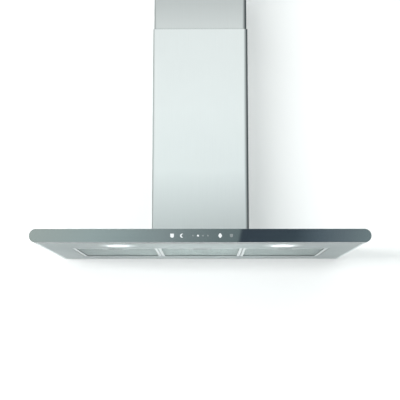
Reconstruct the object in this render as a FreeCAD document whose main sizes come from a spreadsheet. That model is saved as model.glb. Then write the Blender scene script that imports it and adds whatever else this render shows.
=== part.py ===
"""Wall-mounted chimney range hood with a round-ended glass front.

Millimetres. The origin is on the wall, in the middle of the canopy's back panel.
+Z is up, the wall is the plane y = 0 and the glass front faces -Y.
"""
import FreeCAD, Part
import os
import re
import math
import Sketcher
from FreeCAD import Rotation, Vector

# ---------------------------------------------------------------- driving sizes

SIZES = {
    # canopy
    "canopy_width": 898,
    "canopy_depth": 500,
    "canopy_height": 36,
    "canopy_sheet": 1.0,
    "seat_gap": 0.3,
    "rim_width": 10,
    "rim_drop": 0.2,
    "panel_side_margin": 20,
    "panel_front_margin": 8,
    "panel_back_margin": 12,
    "panel_edge_gap": 0.5,
    "panel_corner": 3,
    # glass front and what it is bonded to
    "glass_thickness": 4,
    "glass_bevel": 0.6,
    "carrier_sheet": 1.0,
    "window_half_width": 108,
    "window_height": 26,
    "control_board_sheet": 1.6,
    "control_board_inset": 3,
    "led_height": 0.6,
    "led_side": 3,
    "board_tray_wall": 1.5,
    "board_tray_depth": 9,
    "board_post_inset": 16,
    "board_slot_width": 6,
    # grease filters
    "filter_setback": 152,
    "filter_back_margin": 91,
    "filter_side_margin": 89,
    "filter_gap": 1.5,
    "filter_thickness": 9,
    "filter_sheet": 0.8,
    "filter_lip": 9,
    "filter_recess": 0.2,
    "mesh_pitch": 24,
    "mesh_sheet": 0.9,
    "tab_width": 22,
    "tab_reach": 7,
    "tab_spacing": 140,
    "tab_sheet": 1.0,
    "catch_width": 24,
    "catch_overlap": 1.5,
    "catch_sheet": 0.5,
    "catch_rise": 3,
    "pull_width": 64,
    "pull_depth": 24,
    "pull_rim": 4,
    "pull_lip": 3,
    "pull_sheet": 0.6,
    "pull_cup": 6,
    # lamps
    "lamp_side_inset": 226,
    "lamp_setback": 84,
    "lamp_radius": 32.5,
    "lamp_hole_radius": 30,
    "lamp_lens_radius": 27,
    "lamp_lens_thickness": 2,
    "lamp_flange": 0.8,
    "lamp_body_height": 11,
    "lamp_fin_thickness": 1.2,
    "lamp_fin_pitch": 8,
    "lamp_module_inset": 3,
    "lamp_module_base": 3,
    # chimney
    "chimney_width": 282,
    "chimney_depth": 270,
    "chimney_height": 630,
    "chimney_sheet": 1.0,
    "chimney_bend": 2.5,
    "chimney_return": 14,
    "telescope_gap": 2,
    "upper_length": 500,
    "chimney_extension": 194,
    "vent_length": 60,
    "vent_height": 5,
    "vent_pitch": 13,
    "vent_top_margin": 46,
    "glide_length": 30,
    "glide_height": 12,
    "glide_drop": 4,
    "angle_length": 40,
    "angle_leg": 18,
    "angle_foot": 14,
    # blower
    "impeller_radius": 75,
    "impeller_width": 100,
    "blade_inner_radius": 62,
    "blade_middle_radius": 68,
    "blade_middle_lead": 1.5,
    "blade_lead": 6.5,
    "blade_sheet": 1.2,
    "impeller_ring": 5,
    "impeller_disc": 1.5,
    "impeller_disc_radius": 67,
    "hub_radius": 11,
    "hub_length": 18,
    "shaft_radius": 4,
    "shaft_inset": 2,
    "shaft_end": 3,
    "running_gap": 0.05,
    "scroll_tongue_gap": 10,
    "scroll_growth": 10,
    "scroll_wall": 2,
    "scroll_flange": 8,
    "scroll_front_gap": 8,
    "scroll_side_clearance": 6,
    "tongue_radius": 8,
    "tongue_offset": 28,
    "outlet_rise": 135,
    "inlet_radius": 60,
    "motor_radius": 38,
    "motor_length": 44,
    "bracket_sheet": 2,
    "bracket_plate_radius": 30.4,
    "bracket_hub_gap": 3,
    "bracket_arm": 12,
    "bracket_arm_start": 22.8,
    "bracket_arm_margin": 6,
    "bracket_screw_radius": 70,
    "guard_wire": 2.4,
    "guard_pitch": 15,
    # blower box and duct
    "box_sheet": 1.0,
    "box_side_bay": 42,
    "box_front_bay": 8,
    "box_back_gap": 6,
    "box_flange": 12,
    "box_cable_radius": 6,
    "box_cable_rise": 20,
    "box_screw_margin": 30,
    "inlet_rise": 28,
    "duct_radius": 75,
    "duct_wall": 2,
    "collar_flange": 5,
    "collar_height": 70,
    "collar_seat": 4,
    "collar_seat_rise": 12,
    "flap_stop_width": 4.8,
    "flap_sheet": 1.2,
    "flap_edge_gap": 0.8,
    "damper_pin_radius": 1.5,
    "knuckle_wall": 0.8,
    "knuckle_length": 52,
    "knuckle_gap": 6,
    # wall fixings
    "rail_sheet": 2,
    "rail_width": 180,
    "rail_height": 44,
    "rail_hole_spacing": 140,
    "rail_hole_radius": 3.5,
    "rail_rise": 150,
    "hook_width": 20,
    "hook_spacing": 80,
    "hook_lip": 10,
    "back_hole_spacing": 600,
    "back_hole_radius": 3,
    "ceiling_bracket_height": 30,
    "ceiling_bracket_hole_spacing": 160,
    "ceiling_bracket_drop": 12,
    "ceiling_ear_reach": 22,
    "chimney_screw_inset": 15,
    # electrics
    "terminal_length": 92,
    "terminal_height": 64,
    "terminal_depth": 30,
    "terminal_wall": 2,
    "terminal_rise": 60,
    "gland_radius": 9,
    "gland_bore": 4.5,
    "gland_length": 14,
    "capacitor_radius": 14,
    "capacitor_height": 62,
    "capacitor_rise": 90,
    "capacitor_margin": 60,
    "clip_sheet": 1.2,
    "clip_height": 12,
    "clip_ear": 10,
    "driver_length": 84,
    "driver_height": 40,
    "driver_depth": 24,
    "driver_corner": 3,
    "driver_rise": 96,
    "driver_margin": 30,
    # screws
    "screw_head_radius": 4,
    "screw_head_height": 2.4,
    # how far cutting tools reach past a sheet
    "cut_reach": 5,
    "bolt_reach": 30,
}

FILTER_NAMES = ("left", "center", "right")
SIDES = (("left", -1), ("right", 1))
BLADE_COUNT = 18
RING_SIDES = 2 * BLADE_COUNT
LED_PLACES = (-73, -47.5, -18, -5, 8, 21, 53, 82.5)
BRACKET_ARMS = 3
GUARD_BARS = 7
LAMP_FINS = 6
BOX_SCREWS = 3
VENT_ROWS = 5

doc = FreeCAD.newDocument("RangeHood")
sheet = doc.addObject("Spreadsheet::Sheet", "Sizes")
nodes = []


def fill_sheet():
    """One row per size: its name beside a plain number that carries the alias."""
    for row, (alias, value) in enumerate(SIZES.items(), start=1):
        sheet.set(f"A{row}", alias)
        sheet.set(f"B{row}", str(value))
        sheet.setAlias(f"B{row}", alias)
    doc.recompute()


# ---------------------------------------------------------------- small tools

def bound(text):
    """The same formula with each size written as a reference to the sheet."""
    def reference(match):
        word = match.group(0)
        return f"Sizes.{word}" if word in SIZES else word
    return re.sub(r"[a-z_]+[a-z_0-9]*", reference, str(text))


def number(text):
    """The present value of a formula."""
    return float(sheet.evalExpression(bound(text)))


def node(thing, label):
    """Register a finished sub-part; the label is also its file name."""
    thing.Label = label
    nodes.append(thing)
    return thing


def place(thing, x="0", y="0", z="0", rotation=None):
    """Tie the place of a piece to formulas."""
    if rotation is not None:
        thing.Placement = FreeCAD.Placement(Vector(), rotation)
    for axis, formula in (("x", x), ("y", y), ("z", z)):
        thing.setExpression(f"Placement.Base.{axis}", bound(formula))
    return thing


def block(name, x, y, z):
    """A box between two formulas along each axis."""
    box = doc.addObject("Part::Box", name)
    for size, (low, high) in (("Length", x), ("Width", y), ("Height", z)):
        box.setExpression(size, bound(f"({high}) - ({low})"))
    return place(box, x[0], y[0], z[0])


AXIS_ROTATIONS = {
    "x": Rotation(Vector(0, 1, 0), 90),
    "-y": Rotation(Vector(1, 0, 0), 90),
    "z": Rotation(),
}


def rod(name, axis, at, radius, length):
    """A cylinder that starts at a point and runs along an axis."""
    cylinder = doc.addObject("Part::Cylinder", name)
    cylinder.setExpression("Radius", bound(radius))
    cylinder.setExpression("Height", bound(length))
    return place(cylinder, *at, rotation=AXIS_ROTATIONS[axis])


def hexagon(name, axis, at):
    """The head of a hexagon screw that stands on a point along an axis."""
    head = doc.addObject("Part::Prism", name)
    head.Polygon = 6
    head.setExpression("Circumradius", bound("screw_head_radius"))
    head.setExpression("Height", bound("screw_head_height"))
    return place(head, *at, rotation=AXIS_ROTATIONS[axis])


def joined(name, pieces):
    fuse = doc.addObject("Part::MultiFuse", name)
    fuse.Shapes = pieces
    fuse.Refine = True
    return fuse


def group(name, pieces):
    """Separate solids that share one file, such as a set of screws."""
    compound = doc.addObject("Part::Compound", name)
    compound.Links = pieces
    return compound


def cut(name, base, tools):
    result = doc.addObject("Part::Cut", name)
    result.Base = base
    result.Tool = tools[0] if len(tools) == 1 else joined(f"{name}_tools", tools)
    result.Refine = True
    return result


def new_body(name):
    return doc.addObject("PartDesign::Body", name)


def origin_part(body, role):
    return [part for part in body.Origin.OriginFeatures if part.Role == role][0]


def arc_geometry(start, end, radius, turn):
    """The arc under a half circle between two points; turn is 1 for anticlockwise."""
    chord = end - start
    left = Vector(-chord.y, chord.x, 0).normalize()
    rise = math.sqrt(max(radius ** 2 - chord.Length ** 2 / 4, 0))
    centre = (start + end) * 0.5 + left * (rise * turn)
    first, last = (start, end) if turn > 0 else (end, start)
    angles = [math.atan2(p.y - centre.y, p.x - centre.x) for p in (first, last)]
    circle = Part.Circle(centre, Vector(0, 0, 1), radius)
    return Part.ArcOfCircle(circle, angles[0], angles[1])


def fix_point(sketch, geometry, position, formulas, values):
    """Tie one point of a sketch to two formulas."""
    for kind, formula, value in zip(("DistanceX", "DistanceY"), formulas, values):
        index = sketch.addConstraint(Sketcher.Constraint(kind, -1, 1, geometry, position, value))
        sketch.setExpression(f"Constraints[{index}]", bound(formula))


def fix_radius(sketch, geometry, formula):
    radius = Sketcher.Constraint("Radius", geometry, number(formula))
    index = sketch.addConstraint(radius)
    sketch.setExpression(f"Constraints[{index}]", bound(formula))


def add_circle(sketch, x, y, radius):
    centre = Vector(number(x), number(y), 0)
    circle = Part.Circle(centre, Vector(0, 0, 1), number(radius))
    geometry = sketch.addGeometry(circle, False)
    fix_point(sketch, geometry, 3, (x, y), (centre.x, centre.y))
    fix_radius(sketch, geometry, radius)


def add_loop(sketch, corners):
    """A closed outline. A corner is (x, y), or (x, y, turn, radius) where an arc leaves it."""
    points = [Vector(number(corner[0]), number(corner[1]), 0) for corner in corners]
    edges = []
    for index, corner in enumerate(corners):
        start = points[index]
        end = points[(index + 1) % len(points)]
        if len(corner) == 2:
            geometry = sketch.addGeometry(Part.LineSegment(start, end), False)
            edges.append((geometry, 1, 2))
            continue
        turn, radius = corner[2], corner[3]
        arc = arc_geometry(start, end, number(radius), turn)
        geometry = sketch.addGeometry(arc, False)
        edges.append((geometry, 1, 2) if turn > 0 else (geometry, 2, 1))
    for index, (geometry, tail, head) in enumerate(edges):
        following, next_tail, _ = edges[(index + 1) % len(edges)]
        sketch.addConstraint(
            Sketcher.Constraint("Coincident", geometry, head, following, next_tail))
    for corner, point, (geometry, tail, _) in zip(corners, points, edges):
        fix_point(sketch, geometry, tail, corner[:2], (point.x, point.y))
        if len(corner) > 2:
            fix_radius(sketch, geometry, corner[3])


def outline(body, name, plane, loops, offset="0"):
    """A sketch on one of the body's own planes; a loop of three texts is a circle."""
    sketch = body.newObject("Sketcher::SketchObject", name)
    sketch.AttachmentSupport = (origin_part(body, plane), [""])
    sketch.MapMode = "FlatFace"
    sketch.setExpression("AttachmentOffset.Base.z", bound(offset))
    for loop in loops:
        if isinstance(loop[0], str):
            add_circle(sketch, *loop)
        else:
            add_loop(sketch, loop)
    return sketch


def pad(body, sketch, length, backwards=False):
    feature = body.newObject("PartDesign::Pad", f"{sketch.Name}_pad")
    feature.Profile = sketch
    feature.setExpression("Length", bound(length))
    feature.Reversed = backwards
    return feature


def pocket(body, sketch, length, backwards=False):
    feature = body.newObject("PartDesign::Pocket", f"{sketch.Name}_pocket")
    feature.Profile = sketch
    feature.setExpression("Length", bound(length))
    feature.Reversed = backwards
    return feature


def revolved(body, sketch, axis):
    feature = body.newObject("PartDesign::Revolution", f"{sketch.Name}_turned")
    feature.Profile = sketch
    feature.ReferenceAxis = (origin_part(body, axis), [""])
    feature.Angle = 360
    return feature


def polar(body, feature, axis, count):
    pattern = body.newObject("PartDesign::PolarPattern", f"{feature.Name}_ring")
    pattern.Originals = [feature]
    pattern.Axis = (origin_part(body, axis), [""])
    pattern.Angle = 360
    pattern.Occurrences = count
    body.Tip = pattern
    return pattern


def rectangle(x, y):
    return [(x[0], y[0]), (x[1], y[0]), (x[1], y[1]), (x[0], y[1])]


def rounded_rectangle(x, y, radius):
    """Anticlockwise from the left end of the low side."""
    (left, right), (low, high) = x, y
    return [
        (f"{left} + {radius}", low),
        (f"{right} - {radius}", low, 1, radius),
        (right, f"{low} + {radius}"),
        (right, f"{high} - {radius}", 1, radius),
        (f"{right} - {radius}", high),
        (f"{left} + {radius}", high, 1, radius),
        (left, f"{high} - {radius}"),
        (left, f"{low} + {radius}", 1, radius),
    ]


def cut_corner_rectangle(x, y, corner):
    """A rectangle with its corners cut off straight."""
    (left, right), (low, high) = x, y
    return [
        (f"{left} + {corner}", low), (f"{right} - {corner}", low),
        (right, f"{low} + {corner}"), (right, f"{high} - {corner}"),
        (f"{right} - {corner}", high), (f"{left} + {corner}", high),
        (left, f"{high} - {corner}"), (left, f"{low} + {corner}"),
    ]


def regular_polygon(sides, radius):
    return [(f"{radius} * cos({360 * index / sides})", f"{radius} * sin({360 * index / sides})")
            for index in range(sides)]


def stadium(half_width, radius, x="0", y="0"):
    """A flat bar with half-round ends, each end as two quarter arcs."""
    flat = f"({half_width} - ({radius}))"
    return [
        (f"{x} - {flat}", f"{y} - ({radius})"),
        (f"{x} + {flat}", f"{y} - ({radius})", 1, radius),
        (f"{x} + {half_width}", y, 1, radius),
        (f"{x} + {flat}", f"{y} + ({radius})"),
        (f"{x} - {flat}", f"{y} + ({radius})", 1, radius),
        (f"{x} - {half_width}", y, 1, radius),
    ]


# ---------------------------------------------------------------- shared levels

HALF_WIDTH = "(canopy_width / 2)"
TOP = "(canopy_height / 2)"
BOTTOM = "(-canopy_height / 2)"
SHELL_FRONT = "(-canopy_depth + glass_thickness + carrier_sheet)"
GLASS_BACK = "(-canopy_depth + glass_thickness)"

OPENING_X = f"({HALF_WIDTH} - panel_side_margin)"
OPENING_FRONT = f"({SHELL_FRONT} + panel_front_margin)"
OPENING_BACK = "(-panel_back_margin)"
PANEL_TOP = f"({BOTTOM} + canopy_sheet)"
RIM_UNDER = f"({PANEL_TOP} + rim_drop)"

FILTERS_X = f"({HALF_WIDTH} - filter_side_margin)"
FILTERS_FRONT = "(-canopy_depth + filter_setback)"
FILTERS_BACK = "(-filter_back_margin)"
FILTER_WIDTH = f"((2 * {FILTERS_X} - 4 * filter_gap) / 3)"
FILTER_BOTTOM = f"({BOTTOM} + filter_recess)"
FILTER_TOP = f"({FILTER_BOTTOM} + filter_thickness)"
FILTER_FRONT = f"({FILTERS_FRONT} + filter_gap)"
FILTER_BACK = f"({FILTERS_BACK} - filter_gap)"

LAMP_X = f"({HALF_WIDTH} - lamp_side_inset)"
LAMP_Y = "(-canopy_depth + lamp_setback)"

CHIMNEY_TOP = f"({TOP} + chimney_height)"
UPPER_HALF = "(chimney_width / 2 - chimney_sheet - telescope_gap)"
UPPER_DEPTH = "(chimney_depth - chimney_sheet - telescope_gap)"
UPPER_BACK = "(chimney_sheet + telescope_gap)"
UPPER_TOP = f"({CHIMNEY_TOP} + chimney_extension)"
UPPER_BOTTOM = f"({UPPER_TOP} - upper_length)"

BOX_X = f"({UPPER_HALF} - chimney_sheet - box_side_bay)"
BOX_FRONT = f"(-{UPPER_DEPTH} + chimney_sheet + box_front_bay)"
BOX_BACK = "(-box_back_gap)"

RADIUS_TOP = "(impeller_radius + scroll_tongue_gap)"
RADIUS_FRONT = f"({RADIUS_TOP} + scroll_growth)"
RADIUS_BOTTOM = f"({RADIUS_FRONT} + scroll_growth)"
SCROLL_RIGHT = f"(scroll_growth + {RADIUS_BOTTOM})"
SCROLL_HALF = "(impeller_width / 2 + scroll_side_clearance)"
SCROLL_SIDE = f"({SCROLL_HALF} + scroll_wall)"
FAN_Y = f"({BOX_FRONT} + box_sheet + scroll_front_gap + scroll_wall + {RADIUS_TOP})"
FAN_Z = f"({TOP} + inlet_rise + scroll_wall + {RADIUS_FRONT})"
BOX_TOP = f"({FAN_Z} + outlet_rise + box_sheet)"
DUCT_Y = f"({FAN_Y} + (tongue_offset + {SCROLL_RIGHT}) / 2)"
DAMPER_RISE = "(collar_seat_rise + seat_gap + 1.5 * flap_sheet)"
DAMPER_Z = f"({BOX_TOP} + {DAMPER_RISE})"

RAIL_Z = f"({TOP} + rail_rise)"


# ---------------------------------------------------------------- canopy

def make_canopy_shell():
    """Folded sheet with half-round sides; the bottom opening has a stepped rim."""
    body = new_body("ShellBody")
    outer = outline(body, "ShellOuter", "XZ_Plane", [stadium(HALF_WIDTH, TOP)])
    pad(body, outer, f"-{SHELL_FRONT}")
    inner_loop = stadium(f"({HALF_WIDTH} - canopy_sheet)", f"({TOP} - canopy_sheet)")
    inner = outline(body, "ShellInner", "XZ_Plane", [inner_loop], "canopy_sheet")
    pocket(body, inner, "canopy_depth", backwards=True)

    bottom_opening = block(
        "ShellBottomOpening", (f"-{OPENING_X}", OPENING_X), (OPENING_FRONT, OPENING_BACK),
        (f"{BOTTOM} - 1", f"{PANEL_TOP} + rim_drop"))
    top_opening = block(
        "ShellTopOpening", (f"-{BOX_X} + box_sheet", f"{BOX_X} - box_sheet"),
        (f"{BOX_FRONT} + box_sheet", f"{BOX_BACK} - box_sheet"),
        (f"{TOP} - cut_reach", f"{TOP} + 1"))
    screw_holes = [
        rod(f"ShellBackHole{index}", "-y", (f"{side} * back_hole_spacing / 2", "1", "0"),
            "back_hole_radius", "canopy_sheet + 2")
        for index, (_, side) in enumerate(SIDES)
    ]
    opened = cut("ShellOpened", body, [bottom_opening, top_opening] + screw_holes)

    rim_outer = block(
        "RimOuter", (f"-{OPENING_X} - canopy_sheet", f"{OPENING_X} + canopy_sheet"),
        (f"{OPENING_FRONT} - canopy_sheet", f"{OPENING_BACK} + canopy_sheet"),
        (BOTTOM, f"{RIM_UNDER} + canopy_sheet"))
    rim_step = block(
        "RimStep", (f"-{OPENING_X}", OPENING_X), (OPENING_FRONT, OPENING_BACK),
        (f"{BOTTOM} - 1", RIM_UNDER))
    rim_window = block(
        "RimWindow", (f"-{OPENING_X} + rim_width", f"{OPENING_X} - rim_width"),
        (f"{OPENING_FRONT} + rim_width", f"{OPENING_BACK} - rim_width"),
        (BOTTOM, f"{RIM_UNDER} + 2 * canopy_sheet"))
    rim = cut("Rim", rim_outer, [rim_step, rim_window])
    node(joined("CanopyShell", [opened, rim]), "canopy_shell")


def make_glass_fascia():
    """Flat glass strip with half-round ends and a polished bevel round its front."""
    body = new_body("GlassFascia")
    sketch = outline(body, "GlassOutline", "XZ_Plane", [stadium(HALF_WIDTH, TOP)],
                     f"-{GLASS_BACK}")
    strip = pad(body, sketch, "glass_thickness")
    doc.recompute()
    front = -number("canopy_depth")
    edges = [
        f"Edge{index}" for index, edge in enumerate(strip.Shape.Edges, start=1)
        if abs(edge.BoundBox.YMin - front) < 1e-6 and abs(edge.BoundBox.YMax - front) < 1e-6
    ]
    bevel = body.newObject("PartDesign::Chamfer", "GlassBevel")
    bevel.Base = (strip, edges)
    bevel.setExpression("Size", bound("glass_bevel"))
    node(body, "glass_fascia")


def make_fascia_carrier():
    """Pressed tray that closes the canopy's front and carries the bonded glass."""
    body = new_body("FasciaCarrier")
    half = f"({HALF_WIDTH} - seat_gap)"
    radius = f"({TOP} - seat_gap)"
    window = rectangle(("-window_half_width", "window_half_width"),
                       ("-window_height / 2", "window_height / 2"))
    face = outline(body, "CarrierFace", "XZ_Plane", [stadium(half, radius), window],
                   f"-{SHELL_FRONT}")
    pad(body, face, "carrier_sheet")
    inset = "(canopy_sheet + seat_gap)"
    flange_outer = stadium(f"({HALF_WIDTH} - {inset})", f"({TOP} - {inset})")
    flange_inner = stadium(f"({HALF_WIDTH} - {inset} - carrier_sheet)",
                           f"({TOP} - {inset} - carrier_sheet)")
    flange = outline(body, "CarrierFlange", "XZ_Plane", [flange_outer, flange_inner],
                     f"-{SHELL_FRONT} - (panel_front_margin - 2 * canopy_sheet)")
    pad(body, flange, "panel_front_margin - 2 * canopy_sheet")
    node(body, "fascia_carrier")


def make_control_board():
    """Touch board behind the glass with one lamp under each symbol, in its tray."""
    board_half = "(window_half_width - control_board_inset)"
    board_rise = "(window_height / 2 - control_board_inset)"
    led_front = f"({GLASS_BACK} + seat_gap)"
    board_front = f"({led_front} + led_height)"
    board_back = f"({board_front} + control_board_sheet)"
    pieces = [block("Board", (f"-{board_half}", board_half), (board_front, board_back),
                    (f"-{board_rise}", board_rise))]
    for index, middle in enumerate(LED_PLACES):
        pieces.append(block(
            f"Led{index}", (f"{middle} - led_side / 2", f"{middle} + led_side / 2"),
            (led_front, board_front), ("-led_side / 2", "led_side / 2")))
    node(joined("ControlBoard", pieces), "control_board")

    tray_half = f"({board_half} + seat_gap + board_tray_wall)"
    tray_rise = f"({board_rise} + seat_gap + board_tray_wall)"
    outer = block("TrayOuter", (f"-{tray_half}", tray_half),
                  (board_front, f"{board_front} + board_tray_depth"),
                  (f"-{tray_rise}", tray_rise))
    inside = block(
        "TrayInside", (f"-{tray_half} + board_tray_wall", f"{tray_half} - board_tray_wall"),
        (f"{board_front} - 1", f"{board_front} + board_tray_depth - board_tray_wall"),
        (f"-{tray_rise} + board_tray_wall", f"{tray_rise} - board_tray_wall"))
    cable_slot = block(
        "TrayCableSlot", (f"{tray_half} - 3 * board_tray_wall", f"{tray_half} + 1"),
        (f"{board_back} + 2", f"{board_front} + board_tray_depth - 2"),
        ("-board_slot_width / 2", "board_slot_width / 2"))
    shell = cut("BoardTrayShell", outer, [inside, cable_slot])
    posts = []
    for name, side in SIDES:
        x = f"{side} * ({tray_half} - board_post_inset)"
        posts.append(block(
            f"TrayPost{name}", (f"{x} - board_tray_wall", f"{x} + board_tray_wall"),
            (f"{board_back} + seat_gap", f"{board_front} + board_tray_depth - board_tray_wall"),
            ("-board_tray_wall", "board_tray_wall")))
    node(joined("BoardTray", [shell] + posts), "control_board_tray")


def make_underside_panel():
    """Inset sheet with the filter opening and two lamp holes."""
    body = new_body("UndersidePanel")
    half = f"({OPENING_X} - panel_edge_gap)"
    border = rounded_rectangle(
        (f"-{half}", half),
        (f"({OPENING_FRONT} + panel_edge_gap)", f"({OPENING_BACK} - panel_edge_gap)"),
        "panel_corner")
    opening = rectangle((f"-{FILTERS_X}", FILTERS_X), (FILTERS_FRONT, FILTERS_BACK))
    holes = [(f"{side} * {LAMP_X}", LAMP_Y, "lamp_hole_radius") for _, side in SIDES]
    sketch = outline(body, "PanelOutline", "XY_Plane", [border, opening] + holes, BOTTOM)
    pad(body, sketch, "canopy_sheet")
    node(body, "underside_panel")


# ---------------------------------------------------------------- grease filters

def corrugated_sheet(width, depth, height):
    """A sheet folded into even waves across its width, centred on x and on z."""
    waves = max(int(width // number("mesh_pitch")), 1)
    pitch = width / waves
    thickness = number("mesh_sheet")
    rise = (height - thickness) / 2
    crests = [
        Vector(-width / 2 + index * pitch / 2, 0, rise if index % 2 else -rise)
        for index in range(2 * waves + 1)
    ]
    lift = Vector(0, 0, thickness / 2)
    loop = [point + lift for point in crests] + [point - lift for point in reversed(crests)]
    face = Part.Face(Part.makePolygon(loop + loop[:1]))
    return face.extrude(Vector(0, depth, 0))


def make_filter(name, order):
    """Channel frame, folded mesh pack, hinge tabs, finger pull and snap catch."""
    left = f"(-{FILTERS_X} + filter_gap + {order} * ({FILTER_WIDTH} + filter_gap))"
    right = f"({left} + {FILTER_WIDTH})"
    middle = f"({left} + {FILTER_WIDTH} / 2)"
    title = name.capitalize()

    outer = block(f"{title}Outer", (left, right), (FILTER_FRONT, FILTER_BACK),
                  (FILTER_BOTTOM, FILTER_TOP))
    channel = block(
        f"{title}Channel", (f"{left} + filter_sheet", f"{right} - filter_sheet"),
        (f"{FILTER_FRONT} + filter_sheet", f"{FILTER_BACK} - filter_sheet"),
        (f"{FILTER_BOTTOM} + filter_sheet", f"{FILTER_TOP} - filter_sheet"))
    window = block(
        f"{title}Window", (f"{left} + filter_lip", f"{right} - filter_lip"),
        (f"{FILTER_FRONT} + filter_lip", f"{FILTER_BACK} - filter_lip"),
        (f"{FILTER_BOTTOM} - 1", f"{FILTER_TOP} + 1"))
    frame = cut(f"{title}Channels", outer, [channel, window])
    tabs = [
        block(f"{title}Tab{index}",
              (f"{middle} + {side} * tab_spacing / 2 - tab_width / 2",
               f"{middle} + {side} * tab_spacing / 2 + tab_width / 2"),
              (f"{FILTER_BACK} - filter_sheet", f"{FILTERS_BACK} + tab_reach"),
              (f"{PANEL_TOP} + seat_gap", f"{PANEL_TOP} + seat_gap + tab_sheet"))
        for index, (_, side) in enumerate(SIDES)
    ]
    node(joined(f"{title}Frame", [frame] + tabs), f"filter_{name}_frame")

    pack = doc.addObject("Part::Feature", f"{title}Waves")
    inner_width = number(f"{FILTER_WIDTH} - 2 * filter_sheet - 2 * seat_gap")
    inner_depth = number(f"{FILTER_BACK} - {FILTER_FRONT} - 2 * filter_sheet - 2 * seat_gap")
    inner_height = number("filter_thickness - 2 * filter_sheet - 2 * seat_gap")
    pack.Shape = corrugated_sheet(inner_width, inner_depth, inner_height)
    place(pack, middle, f"{FILTER_FRONT} + filter_sheet + seat_gap",
          f"({FILTER_BOTTOM} + {FILTER_TOP}) / 2")
    notch = block(f"{title}MeshNotch", *pull_limits(middle, "pull_sheet + seat_gap"))
    node(cut(f"{title}Mesh", pack, [notch]), f"filter_{name}_mesh")

    make_filter_pull(name, middle)
    make_filter_catch(name, middle)


def pull_limits(middle, grow="0"):
    """The finger cup's hollow, grown outwards: its limits along x, y and z."""
    front = f"({FILTER_FRONT} + filter_lip + pull_lip)"
    return (
        (f"({middle} - pull_width / 2 + 2 * pull_rim - ({grow}))",
         f"({middle} + pull_width / 2 - 2 * pull_rim + ({grow}))"),
        (f"({front} - ({grow}))", f"({front} + pull_depth - 2 * pull_rim + ({grow}))"),
        (f"({FILTER_BOTTOM})", f"({FILTER_BOTTOM} + pull_cup + ({grow}))"))


def make_filter_pull(name, middle):
    """Pressed finger cup behind the front lip of the frame, with a lip to hook on."""
    title = name.capitalize()
    x, y, z = pull_limits(middle)
    face = block(f"{title}PullFace", (f"{middle} - pull_width / 2", f"{middle} + pull_width / 2"),
                 (f"{y[0]} - 2 * pull_rim", f"{y[1]} + pull_rim"),
                 (f"{z[0]} - pull_sheet", z[0]))
    cup = block(f"{title}PullCup", *pull_limits(middle, "pull_sheet"))
    hollow = block(f"{title}PullHollow", x, y, z)
    mouth = block(f"{title}PullMouth", (f"{x[0]} + pull_rim", f"{x[1]} - pull_rim"),
                  (f"{y[0]} + pull_lip", y[1]), (f"{z[0]} - 1", f"{z[0]} + 1"))
    pressed = joined(f"{title}PullPressed", [face, cup])
    node(cut(f"{title}Pull", pressed, [hollow, mouth]), f"filter_{name}_pull")


def make_filter_catch(name, middle):
    """Bent leaf spring on the frame's front wall; its nose snaps over the panel."""
    title = name.capitalize()
    body = new_body(f"{title}Catch")
    wall = FILTER_FRONT
    nose = f"({FILTERS_FRONT} - catch_overlap)"
    low = f"({PANEL_TOP} + seat_gap)"
    high = f"({low} + 2 * catch_rise)"
    profile = [
        (wall, low),
        (wall, f"{low} + catch_sheet"),
        (f"{nose} + catch_sheet", f"{low} + catch_rise"),
        (wall, f"{high} - catch_sheet"),
        (wall, high),
        (nose, f"{low} + catch_rise"),
    ]
    sketch = outline(body, f"{title}CatchProfile", "YZ_Plane", [profile],
                     f"{middle} - catch_width / 2")
    pad(body, sketch, "catch_width")
    node(body, f"filter_{name}_catch_spring")


# ---------------------------------------------------------------- lamps

def make_lamps():
    """Two recessed round lamps: bezels, diffusing lenses and finned light modules."""
    lens_top = "(canopy_sheet + lamp_lens_thickness)"
    bezels = []
    lenses = []
    for name, side in SIDES:
        x = f"{side} * {LAMP_X}"
        title = name.capitalize()
        bezel = new_body(f"{title}Bezel")
        profile = [
            ("lamp_lens_radius", "-lamp_flange"),
            ("lamp_radius", "-lamp_flange"),
            ("lamp_radius", "0"),
            ("lamp_lens_radius", "0"),
        ]
        ring = outline(bezel, f"{title}BezelProfile", "XZ_Plane", [profile])
        revolved(bezel, ring, "Z_Axis")
        bezels.append(place(bezel, x, LAMP_Y, BOTTOM))
        lenses.append(rod(
            f"{title}Lens", "z", (x, LAMP_Y, f"{BOTTOM} + canopy_sheet - lamp_flange"),
            "lamp_lens_radius - seat_gap / 2", "lamp_lens_thickness + lamp_flange"))
        make_lamp_module(name, x, f"({BOTTOM} + {lens_top})")
    node(group("LampBezels", bezels), "lamp_bezels")
    node(group("LampLenses", lenses), "lamp_lenses")


def make_lamp_module(name, x, low):
    """Light module: a square base on the bezel with a row of cooling fins."""
    title = name.capitalize()
    half = "(lamp_lens_radius - lamp_module_inset)"
    base = block(f"{title}ModuleBase", (f"{x} - {half}", f"{x} + {half}"),
                 (f"{LAMP_Y} - {half}", f"{LAMP_Y} + {half}"), (low, f"{low} + lamp_module_base"))
    pieces = [base]
    for index in range(LAMP_FINS):
        middle = f"({x} + ({index} - ({LAMP_FINS} - 1) / 2) * lamp_fin_pitch)"
        pieces.append(block(
            f"{title}Fin{index}",
            (f"{middle} - lamp_fin_thickness / 2", f"{middle} + lamp_fin_thickness / 2"),
            (f"{LAMP_Y} - {half}", f"{LAMP_Y} + {half}"),
            (f"{low} + lamp_module_base", f"{low} + lamp_body_height")))
    node(joined(f"{title}Module", pieces), f"lamp_{name}_module")


# ---------------------------------------------------------------- chimney

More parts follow.
